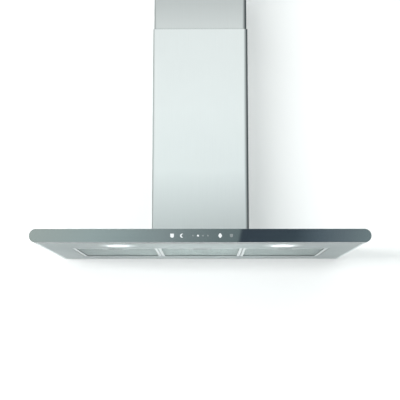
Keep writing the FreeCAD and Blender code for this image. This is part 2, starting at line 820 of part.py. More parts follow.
def channel_outline(half, depth, back, bend, sheet_name):
    """A U-shaped sheet section, open at the wall, with small returns."""
    inner_bend = f"({bend} - {sheet_name})"
    front = f"(-{depth})"
    rear = f"(-({back}))"
    tip = f"({half} - chimney_return)"
    outer = [
        (tip, rear),
        (f"{half} - {bend}", rear, -1, bend),
        (half, f"{rear} - {bend}"),
        (half, f"{front} + {bend}", -1, bend),
        (f"{half} - {bend}", front),
        (f"-{half} + {bend}", front, -1, bend),
        (f"-{half}", f"{front} + {bend}"),
        (f"-{half}", f"{rear} - {bend}", -1, bend),
        (f"-{half} + {bend}", rear),
        (f"-{tip}", rear),
    ]
    inner = [
        (f"-{tip}", f"{rear} - {sheet_name}"),
        (f"-{half} + {bend}", f"{rear} - {sheet_name}", 1, inner_bend),
        (f"-{half} + {sheet_name}", f"{rear} - {bend}"),
        (f"-{half} + {sheet_name}", f"{front} + {bend}", 1, inner_bend),
        (f"-{half} + {bend}", f"{front} + {sheet_name}"),
        (f"{half} - {bend}", f"{front} + {sheet_name}", 1, inner_bend),
        (f"{half} - {sheet_name}", f"{front} + {bend}"),
        (f"{half} - {sheet_name}", f"{rear} - {bend}", 1, inner_bend),
        (f"{half} - {bend}", f"{rear} - {sheet_name}"),
        (tip, f"{rear} - {sheet_name}"),
    ]
    return outer + inner


def make_lower_chimney():
    body = new_body("LowerChimney")
    section = channel_outline("(chimney_width / 2)", "chimney_depth", "0", "chimney_bend",
                              "chimney_sheet")
    sketch = outline(body, "LowerSection", "XY_Plane", [section], TOP)
    pad(body, sketch, "chimney_height")
    node(body, "lower_chimney")


def make_upper_chimney():
    """Telescopic inner section with air slots high on both sides."""
    body = new_body("UpperChimneySheet")
    section = channel_outline(UPPER_HALF, UPPER_DEPTH, UPPER_BACK, "chimney_bend",
                              "chimney_sheet")
    sketch = outline(body, "UpperSection", "XY_Plane", [section], UPPER_BOTTOM)
    pad(body, sketch, "upper_length")
    middle = f"(-({UPPER_DEPTH} + {UPPER_BACK}) / 2)"
    slots = []
    for row in range(VENT_ROWS):
        height = f"({UPPER_TOP} - vent_top_margin - {row} * vent_pitch)"
        slots.append(block(
            f"Vent{row}", (f"-{UPPER_HALF} - 1", f"{UPPER_HALF} + 1"),
            (f"{middle} - vent_length / 2", f"{middle} + vent_length / 2"),
            (f"{height} - vent_height", height)))
    node(cut("UpperChimney", body, slots), "upper_chimney")


def make_chimney_glides():
    """Four plastic pads in the lower section's mouth that guide the upper one."""
    inner = "(chimney_width / 2 - chimney_sheet)"
    low = f"({CHIMNEY_TOP} - glide_height - glide_drop)"
    high = f"({CHIMNEY_TOP} - glide_drop)"
    thickness = "(telescope_gap - seat_gap)"
    pads = []
    for name, side in SIDES:
        inside = f"{side} * ({inner} - {thickness} / 2)"
        pads.append(block(
            f"SideGlide{name}", (f"{inside} - {thickness} / 2", f"{inside} + {thickness} / 2"),
            ("-chimney_depth / 2 - glide_length / 2", "-chimney_depth / 2 + glide_length / 2"),
            (low, high)))
        pads.append(block(
            f"FrontGlide{name}",
            (f"{side} * chimney_width / 4 - glide_length / 2",
             f"{side} * chimney_width / 4 + glide_length / 2"),
            ("-chimney_depth + chimney_sheet", f"-chimney_depth + chimney_sheet + {thickness}"),
            (low, high)))
    node(group("ChimneyGlides", pads), "chimney_glides")


def make_chimney_angles():
    """Two small angles on the canopy that hold the lower section's foot."""
    inner = "(chimney_width / 2 - chimney_sheet)"
    angles = []
    for name, side in SIDES:
        y = ("-chimney_depth / 2 - angle_length / 2", "-chimney_depth / 2 + angle_length / 2")
        upright_middle = f"{side} * ({inner} - box_sheet / 2)"
        upright = block(f"AngleUpright{name}",
                        (f"{upright_middle} - box_sheet / 2", f"{upright_middle} + box_sheet / 2"),
                        y, (TOP, f"{TOP} + angle_leg"))
        foot_middle = f"{side} * ({inner} - angle_foot / 2)"
        foot = block(f"AngleFoot{name}",
                     (f"{foot_middle} - angle_foot / 2", f"{foot_middle} + angle_foot / 2"), y,
                     (TOP, f"{TOP} + box_sheet"))
        angles.append(joined(f"Angle{name}", [upright, foot]))
    node(group("ChimneyAngles", angles), "chimney_angles")


# ---------------------------------------------------------------- blower box

def make_blower_box():
    """Sheet-steel box on the canopy that the blower hangs in, with a fixing flange."""
    low = TOP
    outer = block("BoxOuter", (f"-{BOX_X}", BOX_X), (BOX_FRONT, BOX_BACK), (low, BOX_TOP))
    side_flange = block(
        "BoxSideFlange", (f"-{BOX_X} - box_flange", f"{BOX_X} + box_flange"),
        (BOX_FRONT, BOX_BACK), (low, f"{low} + box_sheet"))
    walls = joined("BoxWalls", [outer, side_flange])
    inside = block(
        "BoxInside", (f"-{BOX_X} + box_sheet", f"{BOX_X} - box_sheet"),
        (f"{BOX_FRONT} + box_sheet", f"{BOX_BACK} - box_sheet"),
        (f"{low} - 1", f"{BOX_TOP} - box_sheet"))
    outlet = block(
        "BoxOutlet", (f"-{SCROLL_HALF}", SCROLL_HALF),
        (f"{FAN_Y} + tongue_offset", f"{FAN_Y} + {SCROLL_RIGHT}"),
        (f"{BOX_TOP} - cut_reach", f"{BOX_TOP} + cut_reach"))
    hook_slots = [
        block(f"HookSlot{name}",
              (f"{side} * hook_spacing / 2 - hook_width / 2 - 1",
               f"{side} * hook_spacing / 2 + hook_width / 2 + 1"),
              (f"{BOX_BACK} - cut_reach", f"{BOX_BACK} + cut_reach"),
              (f"{RAIL_Z} - seat_gap", f"{RAIL_Z} + hook_lip + rail_sheet + 2"))
        for name, side in SIDES
    ]
    hole_place = (f"-{BOX_X} - 2", f"({BOX_FRONT} + {BOX_BACK}) / 2", f"{TOP} + box_cable_rise")
    cable_hole = rod("BoxCableHole", "x", hole_place, "box_cable_radius", "cut_reach")
    node(cut("BlowerBox", walls, [inside, outlet, cable_hole] + hook_slots), "blower_box")


def scroll_loop(grow):
    """The scroll seen along the impeller's axis: three quarter arcs, each larger
    than the last, then the straight outlet and the rounded tongue."""
    rise = "outlet_rise"
    return [
        ("0", f"{RADIUS_TOP} + {grow}", 1, f"{RADIUS_TOP} + {grow}"),
        (f"-({RADIUS_TOP} + {grow})", "0", 1, f"{RADIUS_FRONT} + {grow}"),
        ("scroll_growth", f"-({RADIUS_FRONT} + {grow})", 1, f"{RADIUS_BOTTOM} + {grow}"),
        (f"{SCROLL_RIGHT} + {grow}", "scroll_growth"),
        (f"{SCROLL_RIGHT} + {grow}", rise),
        (f"tongue_offset - {grow}", rise),
        (f"tongue_offset - {grow}", f"{RADIUS_TOP} + tongue_radius", -1,
         f"tongue_radius - {grow}"),
        ("tongue_offset - tongue_radius", f"{RADIUS_TOP} + {grow}"),
    ]


def make_scroll():
    """Volute tub with the outlet's fixing flange, and the side plate that closes it."""
    body = new_body("ScrollTub")
    width = f"({SCROLL_HALF} + {SCROLL_SIDE})"
    shell = outline(body, "ScrollShell", "YZ_Plane", [scroll_loop("scroll_wall")],
                    f"-{SCROLL_HALF}")
    pad(body, shell, width)
    mouth = rectangle(
        (f"-{SCROLL_HALF}", f"({SCROLL_SIDE} + scroll_flange)"),
        ("(tongue_offset - scroll_wall - scroll_flange)",
         f"({SCROLL_RIGHT} + scroll_wall + scroll_flange)"))
    rim = outline(body, "ScrollMouth", "XY_Plane", [mouth], "outlet_rise")
    pad(body, rim, "scroll_wall", backwards=True)
    hollow = outline(body, "ScrollHollow", "YZ_Plane", [scroll_loop("0")], f"-{SCROLL_HALF}")
    pocket(body, hollow, f"2 * {SCROLL_HALF}", backwards=True)
    inlet = outline(body, "ScrollInlet", "YZ_Plane", [("0", "0", "inlet_radius")], SCROLL_HALF)
    pocket(body, inlet, "2 * scroll_wall", backwards=True)
    place(body, "0", FAN_Y, FAN_Z)
    node(body, "scroll_housing")

    plate = new_body("ScrollSidePlate")
    loops = [scroll_loop("scroll_wall"), ("0", "0", "inlet_radius")]
    face = outline(plate, "SidePlateOutline", "YZ_Plane", loops, f"-{SCROLL_SIDE}")
    pad(plate, face, "scroll_wall")
    place(plate, "0", FAN_Y, FAN_Z)
    node(plate, "scroll_side_plate")


def make_impeller():
    """Double-inlet wheel of forward-curved blades on a central disc."""
    body = new_body("Impeller")
    half = "(impeller_width / 2)"
    ring_low = "(impeller_radius - impeller_ring)"
    disc = outline(body, "ImpellerDisc", "YZ_Plane",
                   [regular_polygon(RING_SIDES, "impeller_disc_radius"),
                    ("0", "0", "shaft_radius")], "-impeller_disc / 2")
    pad(body, disc, "impeller_disc")
    boss = outline(body, "ImpellerBoss", "YZ_Plane",
                   [("0", "0", "hub_radius"), ("0", "0", "shaft_radius")], "-hub_length / 2")
    pad(body, boss, "hub_length")
    ring_loops = [regular_polygon(RING_SIDES, "impeller_radius"),
                  regular_polygon(RING_SIDES, ring_low)]
    for title, start in (("Left", f"-{half}"), ("Right", f"{half} - impeller_disc")):
        ring = outline(body, f"ImpellerRing{title}", "YZ_Plane", ring_loops, start)
        pad(body, ring, "impeller_disc")
    middle_y = "(blade_middle_radius * cos(blade_middle_lead))"
    middle_z = "(blade_middle_radius * sin(blade_middle_lead))"
    tip_y = "(impeller_radius * cos(blade_lead) - seat_gap)"
    tip_z = "(impeller_radius * sin(blade_lead))"
    blade = [
        ("blade_inner_radius", "0"), (middle_y, middle_z), (tip_y, tip_z),
        (tip_y, f"{tip_z} + blade_sheet"), (middle_y, f"{middle_z} + blade_sheet"),
        ("blade_inner_radius", "blade_sheet"),
    ]
    sketch = outline(body, "Blade", "YZ_Plane", [blade], f"-({half} - impeller_disc)")
    vane = pad(body, sketch, "impeller_width - 2 * impeller_disc")
    polar(body, vane, "X_Axis", BLADE_COUNT)
    place(body, "0", FAN_Y, FAN_Z)
    node(body, "impeller")


def make_motor():
    """Motor inside the left inlet, its shaft and its three-armed bracket."""
    outer_x = f"(-{SCROLL_SIDE})"
    face_x = f"({outer_x} + motor_length)"
    body = new_body("FanMotor")
    can = [
        (outer_x, "shaft_radius + running_gap"),
        (face_x, "shaft_radius + running_gap"),
        (face_x, "motor_radius"),
        (outer_x, "motor_radius"),
    ]
    revolved(body, outline(body, "MotorProfile", "XY_Plane", [can]), "X_Axis")
    place(body, "0", FAN_Y, FAN_Z)
    node(body, "fan_motor")

    shaft = rod("MotorShaft", "x", (f"{outer_x} + shaft_inset", FAN_Y, FAN_Z),
                "shaft_radius", f"-{outer_x} - shaft_inset + hub_length / 2 + shaft_end")
    node(shaft, "motor_shaft")

    bracket = new_body("MotorBracket")
    loops = [regular_polygon(6, "bracket_plate_radius"),
             ("0", "0", "shaft_radius + bracket_hub_gap")]
    plate = outline(bracket, "BracketPlate", "YZ_Plane", loops, outer_x)
    pad(bracket, plate, "bracket_sheet", backwards=True)
    arm_loop = cut_corner_rectangle(
        ("bracket_arm_start", "(bracket_screw_radius + bracket_arm_margin)"),
        ("(-bracket_arm / 2)", "(bracket_arm / 2)"), "(bracket_arm / 4)")
    arm = pad(bracket, outline(bracket, "BracketArm", "YZ_Plane", [arm_loop], outer_x),
              "bracket_sheet", backwards=True)
    polar(bracket, arm, "X_Axis", BRACKET_ARMS)
    place(bracket, "0", FAN_Y, FAN_Z)
    node(bracket, "motor_bracket")


def make_inlet_guard():
    """Finger guard on the open inlet: a frame of straight bars."""
    start = SCROLL_SIDE
    x = (start, f"{start} + guard_wire")
    reach = "(inlet_radius + guard_pitch / 2)"
    bars = []
    for index in range(GUARD_BARS):
        y = f"{FAN_Y} + ({index} - ({GUARD_BARS} - 1) / 2) * guard_pitch"
        bars.append(block(f"GuardBar{index}", x,
                          (f"{y} - guard_wire / 2", f"{y} + guard_wire / 2"),
                          (f"{FAN_Z} - {reach}", f"{FAN_Z} + {reach}")))
    for index, z in enumerate((f"{FAN_Z} - {reach}", FAN_Z, f"{FAN_Z} + {reach}")):
        bars.append(block(f"GuardRail{index}", x,
                          (f"{FAN_Y} - ({GUARD_BARS} / 2 * guard_pitch)",
                           f"{FAN_Y} + ({GUARD_BARS} / 2 * guard_pitch)"),
                          (f"{z} - guard_wire / 2", f"{z} + guard_wire / 2")))
    node(joined("InletGuard", bars), "inlet_guard")


# ---------------------------------------------------------------- outlet and damper

def flap_stops():
    """Four square posts that stand in the collar's wall, between its two axes."""
    stops = []
    half = "(flap_stop_width / 2)"
    centre = "((duct_radius - collar_seat) * cos(45))"
    for across in (-1, 1):
        for along in (-1, 1):
            stops.append(rectangle(
                (f"{across} * {centre} - {half}", f"{across} * {centre} + {half}"),
                (f"{along} * {centre} - {half}", f"{along} * {centre} + {half}")))
    return stops


def make_outlet_collar():
    """Duct collar on a square flange, with four stops inside for the flaps, and their pin."""
    body = new_body("OutletCollar")
    bore = "(duct_radius - duct_wall)"
    flange_half = "(duct_radius + collar_flange)"
    flange = rectangle((f"-{flange_half}", flange_half), (f"-{flange_half}", flange_half))
    pad(body, outline(body, "CollarFlange", "XY_Plane", [flange]), "duct_wall")
    tube = outline(body, "CollarTube", "XY_Plane", [("0", "0", "duct_radius")])
    pad(body, tube, "collar_height")
    mouth = outline(body, "CollarMouth", "XY_Plane", [("0", "0", bore)])
    pocket(body, mouth, "collar_height", backwards=True)
    pad(body, outline(body, "FlapStops", "XY_Plane", flap_stops()), "collar_seat_rise")
    place(body, "0", DUCT_Y, BOX_TOP)
    node(body, "outlet_collar")

    pin = rod("DamperPin", "x", (f"-{bore} + seat_gap", DUCT_Y, DAMPER_Z),
              "damper_pin_radius", f"2 * ({bore} - seat_gap)")
    node(pin, "damper_pin")


def make_flap(name, side):
    """Half-disc non-return flap with its knuckle on the common pin."""
    radius = "(duct_radius - duct_wall - flap_edge_gap)"
    knuckle = "(damper_pin_radius + running_gap + knuckle_wall)"
    start = f"({knuckle} * sqrt(2) + flap_edge_gap)"
    chord = f"sqrt(({radius}) ^ 2 - ({start}) ^ 2)"
    low = "(-1.5 * flap_sheet)"
    body = new_body(f"Flap{name.capitalize()}")
    half_disc = [
        (f"-{side} * {chord}", f"{side} * {start}"),
        (f"{side} * {chord}", f"{side} * {start}", 1, radius),
        ("0", f"{side} * {radius}", 1, radius),
    ]
    sheet_outline = outline(body, f"Flap{name}Outline", "XY_Plane", [half_disc], low)
    pad(body, sheet_outline, "flap_sheet")
    middle = f"({side} * (knuckle_length / 2 + knuckle_gap))"
    span = (f"{middle} - knuckle_length / 2", f"{middle} + knuckle_length / 2")
    reach = ("0", f"{start} + 2") if side > 0 else (f"-{start} - 2", "0")
    web = block(f"Flap{name}Web", span, reach, (low, f"{low} + flap_sheet"))
    barrel = block(f"Flap{name}Knuckle", span, (f"-{knuckle}", knuckle), (f"-{knuckle}", knuckle))
    bore = rod(f"Flap{name}Bore", "x", (f"{span[0]} - 1", "0", "0"),
               "damper_pin_radius + running_gap", "knuckle_length + 2")
    solid = joined(f"Flap{name}Solid", [body, web, barrel])
    bored = cut(f"Flap{name}Bored", solid, [bore])
    place(bored, "0", DUCT_Y, DAMPER_Z)
    node(bored, f"damper_flap_{name}")


# ---------------------------------------------------------------- wall fixings

def make_wall_rail():
    """Hanging rail with two hooks that pass through slots in the blower box."""
    plate = block("RailPlate", ("-rail_width / 2", "rail_width / 2"), ("-rail_sheet", "0"),
                  (f"{RAIL_Z} - rail_height / 2", f"{RAIL_Z} + rail_height / 2"))
    holes = [
        rod(f"RailHole{name}", "-y", (f"{side} * rail_hole_spacing / 2", "1", RAIL_Z),
            "rail_hole_radius", "rail_sheet + 2")
        for name, side in SIDES
    ]
    reach = f"({BOX_BACK} - box_sheet - rail_sheet - 1)"
    hooks = []
    for name, side in SIDES:
        x = (f"{side} * hook_spacing / 2 - hook_width / 2",
             f"{side} * hook_spacing / 2 + hook_width / 2")
        hooks.append(block(f"HookArm{name}", x, (reach, "-rail_sheet"),
                           (RAIL_Z, f"{RAIL_Z} + rail_sheet")))
        hooks.append(block(f"HookLip{name}", x, (reach, f"{reach} + rail_sheet"),
                           (RAIL_Z, f"{RAIL_Z} + hook_lip + rail_sheet")))
    rail = joined("RailSolid", [plate] + hooks)
    node(cut("WallRail", rail, holes), "wall_rail")


def make_ceiling_bracket():
    """Wall bracket whose ears carry the top of the upper chimney from inside."""
    half = f"({UPPER_HALF} - chimney_sheet)"
    y = (f"-{UPPER_BACK} + seat_gap", "0")
    back = f"(-{UPPER_BACK} - chimney_sheet)"
    low = f"({UPPER_TOP} - ceiling_bracket_drop - ceiling_bracket_height)"
    high = f"({UPPER_TOP} - ceiling_bracket_drop)"
    inner_half = f"({UPPER_HALF} - chimney_return - 1)"
    plate = block("CeilingPlate", (f"-{inner_half}", inner_half), (back, f"{back} + rail_sheet"),
                  (low, high))
    holes = [
        rod(f"CeilingHole{name}", "-y",
            (f"{side} * ceiling_bracket_hole_spacing / 2", "1", f"({low} + {high}) / 2"),
            "rail_hole_radius", "bolt_reach")
        for name, side in SIDES
    ]
    front = f"({back} - 2 * rail_sheet)"
    arms = []
    for name, side in SIDES:
        knee = f"{side} * ({inner_half} - rail_sheet / 2)"
        arms.append(block(f"CeilingKnee{name}",
                          (f"{knee} - rail_sheet / 2", f"{knee} + rail_sheet / 2"),
                          (front, back), (low, high)))
        spread = f"{side} * ({inner_half} + {half}) / 2"
        width = f"({half} - {inner_half})"
        arms.append(block(f"CeilingArm{name}",
                          (f"{spread} - {width} / 2", f"{spread} + {width} / 2"),
                          (front, f"{front} + rail_sheet"), (low, high)))
        ear = f"{side} * ({half} - rail_sheet / 2)"
        arms.append(block(f"CeilingEar{name}",
                          (f"{ear} - rail_sheet / 2", f"{ear} + rail_sheet / 2"),
                          (f"{front} - ceiling_ear_reach", front), (low, high)))
    bracket = joined("CeilingSolid", [plate] + arms)
    node(cut("CeilingBracket", bracket, holes), "ceiling_bracket")


# ---------------------------------------------------------------- electrics

def make_terminal_box():
    """Connection box on the blower box's left wall, with its lid and cable gland."""
    inner = f"(-{BOX_X})"
    outer = f"({inner} - terminal_depth)"
    middle = f"(({BOX_FRONT} + {BOX_BACK}) / 2)"
    y = (f"{middle} - terminal_length / 2", f"{middle} + terminal_length / 2")
    low = f"({TOP} + terminal_rise)"
    z = (low, f"{low} + terminal_height")
    case = block("TerminalCase", (outer, inner), y, z)
    inside = block("TerminalInside", (f"{outer} - 1", f"{inner} - terminal_wall"),
                   (f"{y[0]} + terminal_wall", f"{y[1]} - terminal_wall"),
                   (f"{z[0]} + terminal_wall", f"{z[1]} - terminal_wall"))
    gland_x = f"({outer} + terminal_depth / 2)"
    hole = rod("TerminalGlandHole", "z", (gland_x, middle, f"{z[1]} - 2 * terminal_wall"),
               "gland_bore", "3 * terminal_wall")
    node(cut("TerminalBox", case, [inside, hole]), "terminal_box")

    cover = block("TerminalCover", (f"{outer} - terminal_wall", outer), y, z)
    spigot_outer = block(
        "CoverSpigot", (outer, f"{outer} + terminal_wall"),
        (f"{y[0]} + terminal_wall + seat_gap", f"{y[1]} - terminal_wall - seat_gap"),
        (f"{z[0]} + terminal_wall + seat_gap", f"{z[1]} - terminal_wall - seat_gap"))
    spigot_inner = block(
        "CoverSpigotHollow", (outer, f"{outer} + 2 * terminal_wall"),
        (f"{y[0]} + 2 * terminal_wall", f"{y[1]} - 2 * terminal_wall"),
        (f"{z[0]} + 2 * terminal_wall", f"{z[1]} - 2 * terminal_wall"))
    lid = cut("TerminalSpigot", spigot_outer, [spigot_inner])
    node(joined("TerminalLid", [cover, lid]), "terminal_box_lid")

    make_cable_gland(gland_x, middle, z[1])


def make_cable_gland(x, y, seat):
    """Hexagonal gland on top of the connection box, bored for the mains lead."""
    nut = doc.addObject("Part::Prism", "GlandNut")
    nut.Polygon = 6
    nut.setExpression("Circumradius", bound("gland_radius"))
    nut.setExpression("Height", bound("gland_length"))
    place(nut, x, y, seat)
    bore = rod("GlandBore", "z", (x, y, f"{seat} - 1"), "gland_bore", "gland_length + 2")
    node(cut("CableGland", nut, [bore]), "cable_gland")


def half_octagon(x, y, radius, turn):
    """Four corners of a strap folded round a circle; turn is 1 from low y to high y."""
    side = f"({radius} * tan(22.5))"
    corners = [(f"{x} + {side}", -1, radius), (f"{x} + {radius}", -1, side),
               (f"{x} + {radius}", 1, side), (f"{x} + {side}", 1, radius)]
    return [(across, f"{y} + {turn} * {sign} * {along}") for across, sign, along in corners]


def make_capacitor():
    """Motor capacitor in a folded strap on the blower box's right wall."""
    x = f"({BOX_X} + capacitor_radius + 2 * clip_sheet)"
    y = f"({BOX_FRONT} + capacitor_margin)"
    low = f"({TOP} + capacitor_rise)"
    can = rod("CapacitorCan", "z", (x, y, low), "capacitor_radius", "capacitor_height")
    node(can, "capacitor")

    inner = "(capacitor_radius + seat_gap / 3)"
    outer = "(capacitor_radius + clip_sheet)"
    tip = f"({outer} + clip_ear)"
    step = f"({BOX_X} + clip_sheet)"
    strap = [
        (BOX_X, f"{y} - {tip}"), (step, f"{y} - {tip}"), (step, f"{y} - {outer}"),
        *half_octagon(x, y, outer, 1),
        (step, f"{y} + {outer}"), (step, f"{y} + {tip}"), (BOX_X, f"{y} + {tip}"),
        (BOX_X, f"{y} + {inner}"),
        *half_octagon(x, y, inner, -1),
        (BOX_X, f"{y} - {inner}"),
    ]
    clip = new_body("CapacitorClip")
    sketch = outline(clip, "ClipOutline", "XY_Plane", [strap],
                     f"{low} + (capacitor_height - clip_height) / 2")
    pad(clip, sketch, "clip_height")
    node(clip, "capacitor_clip")


def make_lamp_driver():
    """Lamp power supply on the blower box's right wall."""
    body = new_body("LampDriver")
    back = f"({BOX_BACK} - driver_margin)"
    low = f"({TOP} + driver_rise)"
    loop = rounded_rectangle((f"({back} - driver_length)", back),
                             (low, f"({low} + driver_height)"), "driver_corner")
    pad(body, outline(body, "DriverOutline", "YZ_Plane", [loop], BOX_X), "driver_depth")
    node(body, "lamp_driver")


# ---------------------------------------------------------------- screws

def make_box_screws():
    """Screws that hold the blower box's flanges to the canopy."""
    heads = []
    first = f"({BOX_FRONT} + box_screw_margin)"
    last = f"({BOX_BACK} - box_screw_margin)"
    for name, side in SIDES:
        for index in range(BOX_SCREWS):
            y = f"{first} + {index} * ({last} - {first}) / ({BOX_SCREWS} - 1)"
            heads.append(hexagon(f"BoxScrew{name}{index}", "z",
                                 (f"{side} * ({BOX_X} + box_flange / 2)", y,
                                  f"{TOP} + box_sheet")))
    node(group("BoxScrews", heads), "blower_box_screws")


def make_bracket_screws():
    """Screws that hold the motor bracket to the scroll's side plate."""
    x = f"-{SCROLL_SIDE} - bracket_sheet - screw_head_height"
    heads = []
    for index in range(BRACKET_ARMS):
        angle = 360 * index / BRACKET_ARMS
        heads.append(hexagon(f"BracketScrew{index}", "x",
                             (x, f"{FAN_Y} + bracket_screw_radius * cos({angle})",
                              f"{FAN_Z} + bracket_screw_radius * sin({angle})")))
    node(group("BracketScrews", heads), "motor_bracket_screws")


def make_chimney_screws():
    """Screws through the upper chimney's sides into the ceiling bracket's ears."""
    middle = f"({UPPER_TOP} - ceiling_bracket_drop - ceiling_bracket_height / 2)"
    y = f"(-{UPPER_BACK} - chimney_sheet - chimney_screw_inset)"
    pieces = []
    for name, side in SIDES:
        x = UPPER_HALF if side > 0 else f"-{UPPER_HALF} - screw_head_height"
        pieces.append(hexagon(f"ChimneyScrew{name}", "x", (x, y, middle)))
    node(group("ChimneyScrews", pieces), "chimney_screws")


# ---------------------------------------------------------------- build and export

def check_document():
    """Stop before anything is written if a feature or a shape failed."""
    doc.recompute()
    for thing in doc.Objects:
        bad = [word for word in thing.State if word in ("Invalid", "Error")]
        if bad:
            raise RuntimeError(f"{thing.Name} failed: {thing.State}")
    for thing in nodes:
        shape = thing.Shape
        if shape.isNull() or not shape.isValid() or not shape.Solids:
            raise RuntimeError(f"{thing.Label} has no valid solid")


def export_nodes():
    os.makedirs("parts", exist_ok=True)
    for thing in nodes:
        thing.Shape.exportStep(f"parts/{thing.Label}.step")


def main():
    fill_sheet()
    make_canopy_shell()
    make_glass_fascia()
    make_fascia_carrier()
    make_control_board()
    make_underside_panel()
    for order, name in enumerate(FILTER_NAMES):
        make_filter(name, order)
    make_lamps()
    make_lower_chimney()
    make_upper_chimney()
    make_chimney_glides()
    make_chimney_angles()
    make_blower_box()
    make_scroll()
    make_impeller()
    make_motor()
    make_inlet_guard()
    make_outlet_collar()
    make_flap("front", -1)
    make_flap("back", 1)
    make_wall_rail()
    make_ceiling_bracket()
    make_terminal_box()
    make_capacitor()
    make_lamp_driver()
    make_box_screws()
    make_bracket_screws()
    make_chimney_screws()
    check_document()
    export_nodes()


main()
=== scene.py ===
"""Studio picture of a wall-mounted chimney range hood, built on its CAD frame.

Metres. +Z is up, the wall is the plane y = 0 and the glass front faces -Y.
"""
import bmesh
import bpy
import math
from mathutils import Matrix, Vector


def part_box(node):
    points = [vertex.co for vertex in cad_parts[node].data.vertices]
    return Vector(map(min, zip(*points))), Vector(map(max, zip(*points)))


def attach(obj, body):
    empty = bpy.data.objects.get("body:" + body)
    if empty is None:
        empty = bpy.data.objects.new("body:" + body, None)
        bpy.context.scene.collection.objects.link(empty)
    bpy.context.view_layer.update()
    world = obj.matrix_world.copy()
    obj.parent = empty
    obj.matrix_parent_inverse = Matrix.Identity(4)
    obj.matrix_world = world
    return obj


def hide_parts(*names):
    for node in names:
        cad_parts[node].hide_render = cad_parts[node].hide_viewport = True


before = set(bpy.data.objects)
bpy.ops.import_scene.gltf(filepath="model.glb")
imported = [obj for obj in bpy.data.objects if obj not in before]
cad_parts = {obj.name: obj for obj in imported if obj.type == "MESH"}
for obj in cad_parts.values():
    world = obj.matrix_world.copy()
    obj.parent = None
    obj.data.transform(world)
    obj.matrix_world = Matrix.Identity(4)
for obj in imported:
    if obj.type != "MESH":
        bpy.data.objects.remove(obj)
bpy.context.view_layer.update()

SIDES = ("left", "center", "right")


# ---------------------------------------------------------------- node helpers

class Nodes:
    """Short calls for the nodes of one tree."""

    def __init__(self, tree):
        self.tree = tree

    def add(self, kind, **settings):
        node = self.tree.nodes.new(kind)
        for key, value in settings.items():
            setattr(node, key, value)
        return node

    def link(self, source, target):
        self.tree.links.new(source, target)

    def set_inputs(self, node, values):
        """Sets a node's first inputs to numbers or colours, or links outputs to them."""
        for socket, value in zip(node.inputs, values):
            if isinstance(value, (float, tuple)):
                socket.default_value = value
            else:
                self.link(value, socket)

    def maths(self, operation, *values):
        node = self.add("ShaderNodeMath", operation=operation)
        self.set_inputs(node, values)
        return node.outputs["Value"]

    def ranged(self, value, start, end, low, high, interpolation="LINEAR"):
        """Low at start and high at end, held beyond them."""
        node = self.add("ShaderNodeMapRange", interpolation_type=interpolation)
        for socket, number in (("From Min", start), ("From Max", end),
                               ("To Min", low), ("To Max", high)):
            node.inputs[socket].default_value = number
        self.link(value, node.inputs["Value"])
        return node.outputs["Result"]

    def axes(self, vector):
        """The X, Y and Z of a vector."""
        split = self.add("ShaderNodeSeparateXYZ")
        self.link(vector, split.inputs["Vector"])
        return split.outputs["X"], split.outputs["Y"], split.outputs["Z"]

    def mix_shaders(self, share, first, second):
        node = self.add("ShaderNodeMixShader")
        self.set_inputs(node, (share, first, second))
        return node.outputs["Shader"]


